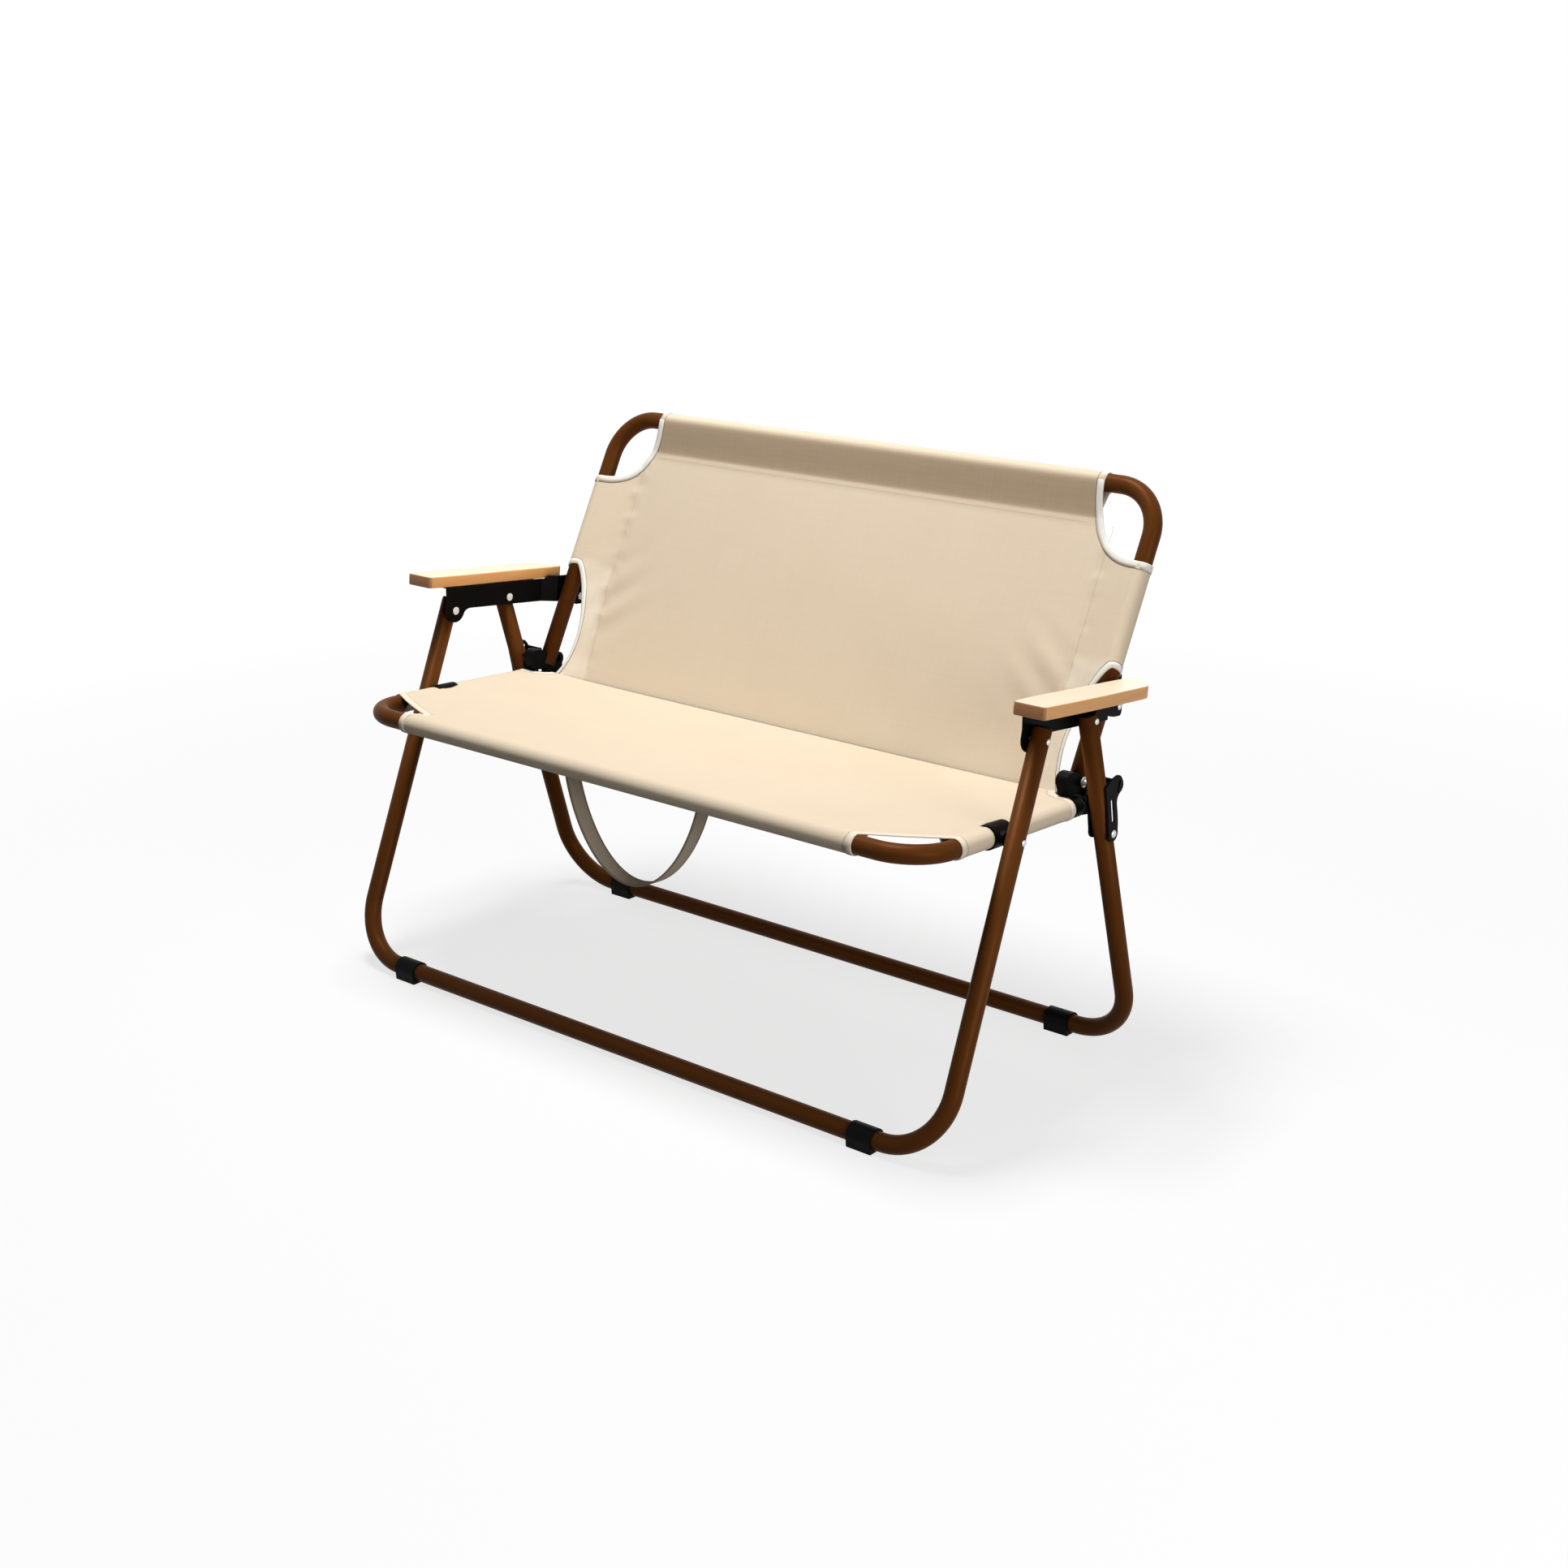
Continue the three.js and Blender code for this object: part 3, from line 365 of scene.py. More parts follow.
def crisp_copy(node, material, body, slot, edge=0.0006, windows=(), placing=None):
    """A copy of the CAD piece with its facets merged and its edges rounded off."""
    mesh = bmesh.new()
    mesh.from_mesh(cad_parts[node].data)
    bmesh.ops.remove_doubles(mesh, verts=mesh.verts, dist=1e-5)
    bmesh.ops.dissolve_limit(
        mesh, angle_limit=math.radians(1.0), verts=mesh.verts, edges=mesh.edges)
    piece = keep_piece("smooth_" + node, mesh, material, body, slot, node)
    if windows:
        cut_windows(piece, windows, placing)
    rounding = piece.modifiers.new("edges", "BEVEL")
    rounding.width = edge
    rounding.segments = 2
    rounding.limit_method = "ANGLE"
    rounding.angle_limit = math.radians(40)
    rounding.harden_normals = True
    soften(piece, 30.0)


for side in ("left", "right"):
    crisp_copy("front_leg_plug_" + side, NYLON, "front_frame", "black_plastic")
    crisp_copy("rear_leg_plug_" + side, NYLON, "rear_frame", "black_plastic")
    crisp_copy("front_foot_sleeve_" + side, NYLON, "front_frame", "black_plastic")
    crisp_copy("rear_foot_sleeve_" + side, NYLON, "rear_frame", "black_plastic")
    crisp_copy("seat_collar_" + side, NYLON, "seat", "black_plastic")

# Black metal parts: folded brackets, cast hinges and latch levers under a powder coat. A
# lever's openings are drawn from its pivot, Y to the rear and Z up along the rear leg.
CAST_EDGE = 0.001
SHEET_EDGE = 0.0005
LEVER_PIVOT = (0.081776, 0.331)
CHEEK_INNER = 0.4931
CHEEK_OUTER = 0.5186
SLOT_LOW = (0.0034, 0.0170)
SLOT_HIGH = (0.0062, 0.0440)
SLOT_RADIUS = 0.0026
WEB_GAP = (0.011, 0.017, 0.010, 0.038)
GRIP_GAP = (0.022, 0.037, 0.044, 0.0535)

coated = Finish("black_powder_coat")
coat_place = coated.own_place()
orange_peel = coated.noise(coat_place, 900.0, 2.0)
rubbed = coated.noise(coat_place, 60.0)
POWDER = coated.surface(
    bump=orange_peel, depth=0.00006,
    Base_Color=coated.mix(rubbed, rgb(0.001, 0.001, 0.001), rgb(0.003, 0.0027, 0.0024)),
    Roughness=orange_peel * 0.15 + 0.42, Specular_IOR_Level=0.04)


def stadium(low, high, radius, steps=8):
    """The outline of a slot with round ends, in Y and Z."""
    slant = math.atan2(high[1] - low[1], high[0] - low[0])
    return [(y + radius * math.cos(slant + turn + i / steps * math.pi),
             z + radius * math.sin(slant + turn + i / steps * math.pi))
            for (y, z), turn in ((high, -math.pi / 2), (low, math.pi / 2))
            for i in range(steps + 1)]


def oblong(low_y, high_y, low_z, high_z):
    return [(low_y, low_z), (high_y, low_z), (high_y, high_z), (low_y, high_z)]


def lever_windows(sign):
    """The slot in the outer cheek, and the gaps between the cheeks that let light through."""
    outer = sign * CHEEK_OUTER
    return [(sign * (CHEEK_OUTER - 0.002), sign * (CHEEK_OUTER + 0.006),
             stadium(SLOT_LOW, SLOT_HIGH, SLOT_RADIUS)),
            (sign * CHEEK_INNER, outer, oblong(*WEB_GAP)),
            (sign * (CHEEK_OUTER - 0.011), outer, oblong(*GRIP_GAP))]


for sign, side in ((-1, "left"), (1, "right")):
    crisp_copy("seat_end_fitting_" + side, POWDER, "seat", "black_metal")
    crisp_copy("back_hinge_casting_" + side, POWDER, "back", "black_metal", CAST_EDGE)
    crisp_copy("back_saddle_" + side, POWDER, "back", "black_metal", CAST_EDGE)
    crisp_copy("armrest_bracket_" + side, POWDER, "armrest_" + side, "black_metal")
    crisp_copy("latch_lever_" + side, POWDER, "latch_" + side, "black_metal", SHEET_EDGE,
               lever_windows(sign), upright(*LEVER_PIVOT, REAR_LEAN))
crisp_copy("seat_hinge_rod", POWDER, "seat", "black_metal")

# Rivets, latch studs and latch axles: bright plated steel, turned about the X axis. A rivet
# has a flat head on the inside and a smaller domed tail on the outside.
HEAD = 0.0055
HEAD_THICK = 0.0014
SHANK = 0.003
TAIL = 0.004
TAIL_DOME = 0.0022
ROUND_SIDES = 32

plated = Finish("bright_plated_steel")
brushed = plated.noise(plated.own_place(), 500.0, 2.0)
STEEL = plated.surface(
    bump=brushed, depth=0.00002,
    Base_Color=plated.mix(brushed, rgb(0.78, 0.77, 0.75), rgb(0.90, 0.89, 0.87)),
    Metallic=0.3, Roughness=brushed * 0.12 + 0.2)


def rivet_profile(near, far):
    inner = near + HEAD_THICK
    outer = far - TAIL_DOME
    return [
        (inner - HEAD_THICK, 0), (inner - HEAD_THICK, HEAD * 0.85), (inner - 0.0010, HEAD),
        (inner, HEAD), (inner, SHANK), (outer, SHANK), (outer, TAIL), (outer + 0.0004, TAIL),
        (outer + 0.001, TAIL * 0.92), (outer + TAIL_DOME * 0.8, TAIL * 0.62),
        (outer + TAIL_DOME, TAIL * 0.3), (outer + TAIL_DOME, 0)]


def stud_profile(near, far):
    return [
        (near, 0), (near, 0.0068), (near + 0.0004, 0.007), (near + 0.0015, 0.007),
        (near + 0.002, 0.006), (near + 0.002, 0.004), (far - 0.001, 0.004),
        (far - 0.0003, 0.0036), (far, 0.003), (far, 0)]


def axle_profile(near, far):
    return [
        (near, 0), (near, 0.003), (near + 0.0006, 0.0039), (near + 0.0018, 0.0044),
        (near + 0.0018, 0.003), (far - 0.0024, 0.003), (far - 0.0024, 0.005),
        (far - 0.0016, 0.005), (far - 0.0007, 0.0042), (far, 0.0028), (far, 0)]


def turn_pin(node, sign, side, profile, body):
    """Spins a profile of (x, radius) steps about the X axis, where the CAD's own pin lies."""
    low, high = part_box(f"{node}_{side}")
    near, far = sorted((abs(low.x), abs(high.x)))
    mesh = bmesh.new()
    rim = [mesh.verts.new((sign * x, radius, 0)) for x, radius in profile(near, far)]
    for first, second in zip(rim, rim[1:]):
        mesh.edges.new((first, second))
    bmesh.ops.spin(
        mesh, geom=mesh.verts[:] + mesh.edges[:], cent=(0, 0, 0), axis=(1, 0, 0),
        dvec=(0, 0, 0), angle=2 * math.pi, steps=ROUND_SIDES, use_merge=True,
        use_duplicate=False)
    bmesh.ops.remove_doubles(mesh, verts=mesh.verts, dist=SAME_PLACE)
    bmesh.ops.recalc_face_normals(mesh, faces=mesh.faces)
    bmesh.ops.translate(mesh, vec=(0, (low.y + high.y) / 2, (low.z + high.z) / 2),
                        verts=mesh.verts)
    piece = keep_piece(f"{node}_bright_{side}", mesh, STEEL, body, "bright_steel",
                       f"{node}_{side}")
    soften(piece, 40.0)


for sign, side in ((-1, "left"), (1, "right")):
    for node, profile, body in (
            ("seat_pivot_rivet", rivet_profile, "seat"),
            ("armrest_front_rivet", rivet_profile, "armrest_" + side),
            ("rear_leg_rivet", rivet_profile, "armrest_" + side),
            ("armrest_rear_rivet", rivet_profile, "back"),
            ("latch_stud", stud_profile, "back"),
            ("latch_axle", axle_profile, "rear_frame")):
        turn_pin(node, sign, side, profile, body)

# Armrests: pale hardwood boards with rounded edges under clear satin lacquer. The front end
# is square with its inner corner drawn in, and the rear end is round. Boards are drawn from
# the front pivot. Their long sides carry painted shade, darker and more orange than the top,
# and the front end is darker still, partly from its end grain and partly as painted shade.
BOARD_THICK = 0.016
BOARD_LENGTH = 0.265
BOARD_WIDTH = 0.049
BOARD_INNER = 0.491
BOARD_START = -0.04777
BOARD_UNDER = 0.0346
BOARD_ROUNDING = 0.0017
ARM_PIVOT = (-0.0695, 0.4845)
ARM_SLOPE = math.radians(-6.1)
LONG_SIDE_SHADE = 0.5
END_GRAIN_AND_SHADE = 1.0

timber = Finish("lacquered_beech")
board_place = timber.own_place()
long_grain = timber.noise(board_place, 60.0, 6.0, (1.0, 0.06, 1.6))
fine_pores = timber.noise(board_place, 420.0, 3.0, (1.0, 0.04, 1.0))
figure = timber.node("TexWave", {"wave_type": "BANDS", "bands_direction": "X"}, {
    "Vector": timber.node("Mapping", None, {"Vector": board_place, "Scale": (1, 0.08, 1.3)}),
    "Scale": 55.0, "Distortion": 5.0, "Detail": 3.0, "Detail Scale": 1.2})
# Painted shade: the long sides take a darker, more orange colour than the top, and the front
# end a darker one still, which is partly its end grain.
side_shade = timber.painted("side_shade")
face = timber.mix(long_grain, rgb(0.80, 0.68, 0.50), rgb(0.90, 0.80, 0.62))
shaded_long_side = timber.mix(long_grain, rgb(0.68, 0.31, 0.095), rgb(0.84, 0.44, 0.16))
shaded_end_grain = timber.mix(fine_pores, rgb(0.24, 0.085, 0.022), rgb(0.48, 0.21, 0.07))
side_shaded_wood = timber.mix(side_shade.clip(0.0, LONG_SIDE_SHADE) * 2.0, face, shaded_long_side)
side_shaded_wood = timber.mix((side_shade.clip(LONG_SIDE_SHADE, END_GRAIN_AND_SHADE) - LONG_SIDE_SHADE) * 2.0, side_shaded_wood, shaded_end_grain)
WOOD = timber.surface(
    bump=fine_pores, depth=0.00006,
    Base_Color=timber.mix(figure * 0.1 + fine_pores * 0.1, side_shaded_wood, rgb(0.50, 0.27, 0.11)),
    Roughness=fine_pores * 0.15 + 0.42, Coat_Weight=0.12, Coat_Roughness=0.3)


def quadratic(start, control, end, steps=10):
    start, control, end = Vector(start), Vector(control), Vector(end)
    return [start * (1 - t) ** 2 + control * 2 * t * (1 - t) + end * t * t
            for t in (step / steps for step in range(1, steps + 1))]


def board_outline():
    """Round the board from its front's inner corner: out from the seat, then to the rear."""
    wide, long = BOARD_WIDTH, BOARD_LENGTH
    outline = [Vector((0.008, 0)), Vector((wide - 0.005, 0))]
    outline += quadratic((wide - 0.005, 0), (wide - 0.001, 0), (wide - 0.0005, 0.005), 5)
    outline += quadratic((wide - 0.0005, 0.005), (wide + 0.001, 0.06), (wide, 0.14))
    outline += [Vector((wide - 0.002, long - 0.038))]
    outline += quadratic((wide - 0.002, long - 0.038), (wide - 0.0025, long - 0.028),
                         (wide - 0.010, long - 0.021), 7)
    outline += quadratic((wide - 0.010, long - 0.021), (wide - 0.024, long - 0.005),
                         (0.014, long - 0.001))
    outline += quadratic((0.014, long - 0.001), (0.002, long + 0.001),
                         (0.0015, long - 0.011), 8)
    outline += [Vector((0, 0.06))]
    outline += quadratic((0, 0.06), (0.0005, 0.026), (0.0025, 0.006), 8)
    outline += quadratic((0.0025, 0.006), (0.0035, 0.0003), (0.008, 0), 7)[:-1]
    return outline


for sign, side in ((-1, "left"), (1, "right")):
    mesh = bmesh.new()
    corners = [mesh.verts.new((sign * (BOARD_INNER + out), BOARD_START + back, BOARD_UNDER))
               for out, back in board_outline()]
    top = bmesh.ops.extrude_face_region(mesh, geom=[mesh.faces.new(corners)])["geom"]
    bmesh.ops.translate(mesh, vec=(0, 0, BOARD_THICK), verts=pick(top, bmesh.types.BMVert))
    bmesh.ops.recalc_face_normals(mesh, faces=mesh.faces)
    rims = [edge for edge in mesh.edges
            if abs(edge.verts[0].co.z - edge.verts[1].co.z) < SAME_PLACE]
    bmesh.ops.bevel(mesh, geom=rims, offset=BOARD_ROUNDING, offset_type="OFFSET", segments=3,
                    profile=0.5, affect="EDGES", material=-1)
    # Marks the faces that take painted shade: the long sides, and the front end with its end
    # grain.
    side_shade_marks = mesh.faces.layers.float.new("side_shade")
    for part in mesh.faces:
        if abs(part.normal.z) < 0.75:
            at_front = part.calc_center_median().y < BOARD_START + 0.004
            part[side_shade_marks] = END_GRAIN_AND_SHADE if at_front else LONG_SIDE_SHADE
    bmesh.ops.transform(mesh, matrix=upright(*ARM_PIVOT, ARM_SLOPE), verts=mesh.verts)
    armrest = keep_piece("wooden_armrest_" + side, mesh, WOOD, "armrest_" + side,
                         "armrest_wood", "armrest_board_" + side)
    soften(armrest, 30.0)

# Seat and back frames: two more U-shaped tubes of the same brown anodised aluminium. The
# seat frame runs down to the rear and the back frame leans back.
SEAT_PIVOT = (-0.1156, 0.3725)
SEAT_SLOPE = math.radians(-3.5)
SEAT_HALF = 0.475
SEAT_FRONT = 0.1466
SEAT_TUBE_END = 0.176
BACK_TOP = (0.2639, 0.7249)
RECLINE = math.radians(-27.73)
BACK_HALF = 0.4634
BACK_TUBE = 0.3915
CORNER_BEND = 0.062

seat_place = upright(*SEAT_PIVOT, SEAT_SLOPE)
back_place = upright(*BACK_TOP, RECLINE)
frame_tube("seat_frame", [
    (-SEAT_HALF, SEAT_TUBE_END, 0), (-SEAT_HALF, -SEAT_FRONT, 0), (SEAT_HALF, -SEAT_FRONT, 0),
    (SEAT_HALF, SEAT_TUBE_END, 0)], CORNER_BEND, seat_place, "seat")
frame_tube("back_frame", [
    (-BACK_HALF, 0, -BACK_TUBE), (-BACK_HALF, 0, 0), (BACK_HALF, 0, 0),
    (BACK_HALF, 0, -BACK_TUBE)], CORNER_BEND, back_place, "back")

# Slings: beige canvas cut flat, with a pocket sewn along each supported edge for the tube.
# The canvas is drawn on its flat pattern in metres, u across and v along, trimmed there,
# and then laid in place. Its edges are bound with tape, and each stitch is a piece of thread.
CLOTH_ON_TUBE = 0.0128
CLOTH_THICK = 0.001
CELL = 0.004
LAYER = 0.0017
POCKET_TURN = 4.1
SEAT_WRAP = CLOTH_ON_TUBE * POCKET_TURN + 0.036
BACK_WRAP = CLOTH_ON_TUBE * POCKET_TURN + 0.068
THREADS = 2 * math.pi / 0.0011
TAPE_THICK = 0.0011
TAPE_OVER = 0.0011
STITCH_LENGTH = 0.0027
STITCH_LIFT = 0.0006
SEAM_PITCH = 0.0030
SEAM_THREAD = 0.00032
EDGE_PITCH = 0.0029
EDGE_THREAD = 0.0005
EDGE_SEAM_GAP = 0.0009
EDGE_STEP = 0.003

woven = Finish("beige_canvas")
cut_place = woven.node("UVMap", {"uv_map": "pattern"})
across = woven.node("SeparateXYZ", None, {"Vector": cut_place})
weft = (across * THREADS).wave()
warp = (across.output("Y") * THREADS).wave()
slub_across = woven.noise(cut_place, 260.0, 3.0, (0.05, 1.0, 1.0))
slub_along = woven.noise(cut_place, 260.0, 3.0, (1.0, 0.05, 1.0))
washed = woven.noise(cut_place, 7.0, 4.0)
threads = weft * warp * 0.5 + 0.5
# Painted light on the back's canvas: paler on the side pockets below the arm openings, as a
# painted highlight, and darker on the top pocket's band, as painted shade.
painted_light_share = woven.painted("painted_light_share")
canvas_tone = woven.mix(washed, rgb(0.76, 0.625, 0.455), rgb(0.81, 0.68, 0.51))
canvas_tone = woven.mix(painted_light_share.clip(0.0, 1.0), canvas_tone, rgb(0.95, 0.85, 0.70))
canvas_tone = woven.mix((0.0 - painted_light_share).clip(0.0, 1.0), canvas_tone, rgb(0.28, 0.18, 0.09))
CANVAS = woven.surface(
    bump=threads * 0.7 + slub_across * 0.6 + slub_along * 0.6, depth=0.00012,
    Base_Color=woven.mix(slub_across * 0.2 + slub_along * 0.2, canvas_tone,
                         rgb(0.62, 0.495, 0.35)),
    Roughness=threads * 0.08 + 0.86, Sheen_Weight=0.2, Sheen_Roughness=0.5)


def tape_finish(name, shade, tone):
    tape = Finish(name)
    ribbed = tape.noise(tape.own_place(), 900.0, 2.0)
    return tape.surface(bump=ribbed, depth=0.0001, Base_Color=tape.mix(ribbed, shade, tone),
                        Roughness=ribbed * 0.1 + 0.8)


def thread_finish(name, shade, tone):
    thread = Finish(name)
    twist = thread.noise(thread.own_place(), 2500.0, 1.0)
    return thread.surface(Base_Color=thread.mix(twist, shade, tone),
                          Roughness=twist * 0.1 + 0.75)


IVORY = tape_finish("ivory_binding", rgb(0.80, 0.77, 0.70), rgb(0.90, 0.88, 0.82))
HEM_TAPE = tape_finish("cream_hem", rgb(0.78, 0.67, 0.52), rgb(0.86, 0.76, 0.61))
# Near-black brown thread, sewn almost without gaps beside the back's tape: partly real stitches
# and partly painted shade along the tape's inner edge.
DARK_THREAD_AND_EDGE_SHADE = thread_finish("dark_thread_and_edge_shade", rgb(0.045, 0.028, 0.016), rgb(0.09, 0.06, 0.04))
TAN_THREAD = thread_finish("tan_thread", rgb(0.52, 0.41, 0.29), rgb(0.62, 0.50, 0.37))


def share(value):
    return max(0.0, min(1.0, value))


def round_pocket(beyond, panel_up):
    """Out and up from a tube's centre, this far of cloth beyond the tube's top."""
    bent = CLOTH_ON_TUBE * POCKET_TURN
    turn = min(beyond, bent) / CLOTH_ON_TUBE
    out = CLOTH_ON_TUBE * math.sin(turn)
    up = CLOTH_ON_TUBE * math.cos(turn)
    spare = beyond - bent
    if spare > 0:
        climb = (panel_up(-0.02) - LAYER - up) / -math.sin(POCKET_TURN)
        run = min(spare, climb)
        out += run * math.cos(POCKET_TURN) - (spare - run)
        up = min(up - run * math.sin(POCKET_TURN), panel_up(out) - LAYER)
    return out, up


def oval(across_from, along_from, wide, long, power=2.0):
    """How far outside an oval a point lies. A higher power makes the oval squarer."""
    ratio = (abs(across_from / wide) ** power + abs(along_from / long) ** power) ** (1 / power)
    return (ratio - 1.0) * min(wide, long)


def oval_arc(wide, long, power, steps, first=0.0):
    """Steps along a quarter of an oval: how far across and along from its centre."""
    turns = [first + i / steps * (math.pi / 2 - first) for i in range(steps)]
    return [(wide * math.cos(t) ** (2 / power), long * math.sin(t) ** (2 / power))
            for t in turns] + [(0.0, long)]


def lay_cloth(across, low, high, margin, place, painted_light):
    """Cuts a canvas piece on its pattern, where margin is positive, and lays it in place."""
    mesh = bmesh.new()
    bmesh.ops.create_grid(mesh, x_segments=round(2 * across / CELL),
                          y_segments=round((high - low) / CELL), size=0.5)
    bmesh.ops.scale(mesh, vec=(2 * across, high - low, 1), verts=mesh.verts)
    bmesh.ops.translate(mesh, vec=(0, (low + high) / 2, 0), verts=mesh.verts)
    outside = [face for face in mesh.faces if margin(*face.calc_center_median().xy) < 0]
    bmesh.ops.delete(mesh, geom=outside, context="FACES")
    step = 1e-4
    for vertex in [v for v in mesh.verts if v.is_boundary]:
        for _ in range(3):
            u, v = vertex.co.xy
            gap = margin(u, v)
            if abs(gap) > 1.2 * CELL:
                break
            slope = Vector((margin(u + step, v) - margin(u - step, v),
                            margin(u, v + step) - margin(u, v - step))) / (2 * step)
            if slope.length > 0.2:
                vertex.co.xy -= slope * (gap / slope.length_squared)
    pattern = mesh.loops.layers.uv.new("pattern")
    for face in mesh.faces:
        face.smooth = True
        for loop in face.loops:
            loop[pattern].uv = loop.vert.co.xy
    area = sum(face.calc_area() for face in mesh.faces)
    # Each vertex keeps its share of painted highlight (above 0) and painted shade (below 0).
    painted_light_layer = mesh.verts.layers.float.new("painted_light_share")
    for vertex in mesh.verts:
        vertex[painted_light_layer] = painted_light(*vertex.co.xy)
        vertex.co = place(*vertex.co.xy)
    return mesh, area


def on_cloth(place, point):
    """The place, the outward normal and two directions of the cloth at a pattern point."""
    u, v = point
    h = 0.0008
    du = (place(u + h, v) - place(u - h, v)).normalized()
    dv = (place(u, v + h) - place(u, v - h)).normalized()
    return place(u, v), du.cross(dv).normalized(), du, dv


def into_cloth(point, heading, margin):
    """The direction square to an edge's heading that leads into the cloth."""
    inward = Vector((-heading.y, heading.x))
    probe = inward * 0.002
    return -inward if margin(*(point + probe)) < margin(*(point - probe)) else inward


def bind_edge(mesh, place, margin, edge, width):
    """Folds tape over a trimmed edge: one closed band swept along the edge's points."""
    last = None
    for i, point in enumerate(edge):
        wide = width(point.y)
        upper = [(wide, TAPE_THICK), (wide * 0.5, TAPE_THICK * 1.15), (0.0006, TAPE_THICK),
                 (-TAPE_OVER, TAPE_THICK * 0.45)]
        here, normal, du, dv = on_cloth(place, point)
        before = edge[max(i - 1, 0)]
        after = edge[min(i + 1, len(edge) - 1)]
        inward = into_cloth(point, (after - before).normalized(), margin)
        ring = []
        for deep, up in upper + [(deep, -up) for deep, up in upper[::-1]]:
            if deep > 0:
                there, raised = on_cloth(place, point + inward * deep)[:2]
                ring.append(mesh.verts.new(there + raised * up))
            else:
                over = (du * inward.x + dv * inward.y) * deep
                ring.append(mesh.verts.new(here + over + normal * up))
        loop = [mesh.edges.new((ring[j], ring[j - 1])) for j in range(len(ring))]
        if last:
            bmesh.ops.bridge_loops(mesh, edges=last + loop)
        else:
            mesh.faces.new(ring)
        last = loop
    mesh.faces.new(ring)


def sew(mesh, place, points, pitch=SEAM_PITCH, radius=SEAM_THREAD):
    """Lays one thread stitch after another along a line of pattern points."""
    walked = 0.0
    due = pitch / 2
    for first, second in zip(points, points[1:]):
        span = (second - first).length
        while due <= walked + span and span > 0:
            point = first.lerp(second, (due - walked) / span)
            here, normal, du, dv = on_cloth(place, point)
            heading = (second - first).normalized()
            along_stitch = (du * heading.x + dv * heading.y).normalized()
            turn = Matrix((along_stitch, normal.cross(along_stitch), normal)).transposed()
            size = Matrix.Diagonal((STITCH_LENGTH / 2, radius, radius * 0.8, 1))
            bmesh.ops.create_icosphere(
                mesh, subdivisions=1, radius=1.0,
                matrix=Matrix.Translation(here + normal * STITCH_LIFT) @ turn.to_4x4() @ size)
            due += pitch
        walked += span


def trim_edge(line, place, margin, tape_mesh, thread_mesh, width, shift=0.0, signs=(-1, 1)):
    """Binds an edge with tape, on both sides or one, and sews along the tape's inner side."""
    for sign in signs:
        edge = [Vector((sign * u + shift, v)) for u, v in line]
        bind_edge(tape_mesh, place, margin, edge, width)
        inner = []
        for first, second in zip(edge, edge[1:]):
            inward = into_cloth(first, (second - first).normalized(), margin)
            inner.append(first + inward * (width(first.y) + EDGE_SEAM_GAP))
        sew(thread_mesh, place, inner, EDGE_PITCH, EDGE_THREAD)


def trim_piece(name, mesh, material, body):
    bmesh.ops.recalc_face_normals(mesh, faces=mesh.faces)
    for face in mesh.faces:
        face.smooth = True
    return keep_piece(name, mesh, material, body, "canvas")


def finish_cloth(name, mesh, body, node, area):
    sling = keep_piece(name, mesh, CANVAS, body, "canvas", node)
    give_thickness(sling, "canvas", CLOTH_THICK)


# Seat sling: pockets along the front bar and both seat tubes. The front corners are cut out,
# the left one to a point and the right one round, with a notch on each side for the pivot's
# collar, and the rear corners are rounded off where the side pockets end.
SEAT_DIP = 0.008
SEAT_REAR = 0.1885
FRONT_POCKET = 0.386
SIDE_POCKET_START = -0.0785
SIDE_POCKET_END = 0.161
CORNER_X = SEAT_HALF + 0.001
CORNER_WIDE = CORNER_X - FRONT_POCKET
CORNER_LONG = SEAT_FRONT + SIDE_POCKET_START
CORNER_POWER = 1.28
LEFT_APEX = (0.367, -0.129)
REAR_X = 0.491
REAR_CUT_END = 0.190
REAR_CUT_WIDE = 0.05
REAR_CUT_LONG = 0.029
COLLAR_MIDDLE = 0.004
COLLAR_HALF = 0.0187
COLLAR_DEEP = 0.0125
SEAT_TAPE = 0.009


def beyond_line(start, end, point):
    """How far a point lies on the left of the line from start to end."""
    along = (Vector(end) - Vector(start)).normalized()
    away = Vector(point) - Vector(start)
    return along.x * away.y - along.y * away.x


def seat_margin(u, v):
    left = u < 0
    u = abs(u)
    front = v + SEAT_FRONT
    if front < 0:
        corner = FRONT_POCKET - u
    elif u > CORNER_X:
        corner = v - SIDE_POCKET_START
    elif left:
        corner = max(beyond_line((FRONT_POCKET, -SEAT_FRONT), LEFT_APEX, (u, v)),
                     beyond_line(LEFT_APEX, (CORNER_X, SIDE_POCKET_START), (u, v)))
    else:
        corner = oval(CORNER_X - u, front, CORNER_WIDE, CORNER_LONG, CORNER_POWER)
    if u > SEAT_HALF:
        notch = abs(v - COLLAR_MIDDLE) - COLLAR_HALF
    else:
        notch = oval(SEAT_HALF - u, v - COLLAR_MIDDLE, COLLAR_DEEP, COLLAR_HALF)
    if u > REAR_X:
        rear = SIDE_POCKET_END - v
    elif v < REAR_CUT_END:
        rear = oval(REAR_X - u, REAR_CUT_END - v, REAR_CUT_WIDE, REAR_CUT_LONG)
    else:
        rear = REAR_X - REAR_CUT_WIDE - u
    return min(corner, notch, rear, SEAT_REAR - v, SEAT_HALF + SEAT_WRAP - u, front + SEAT_WRAP)


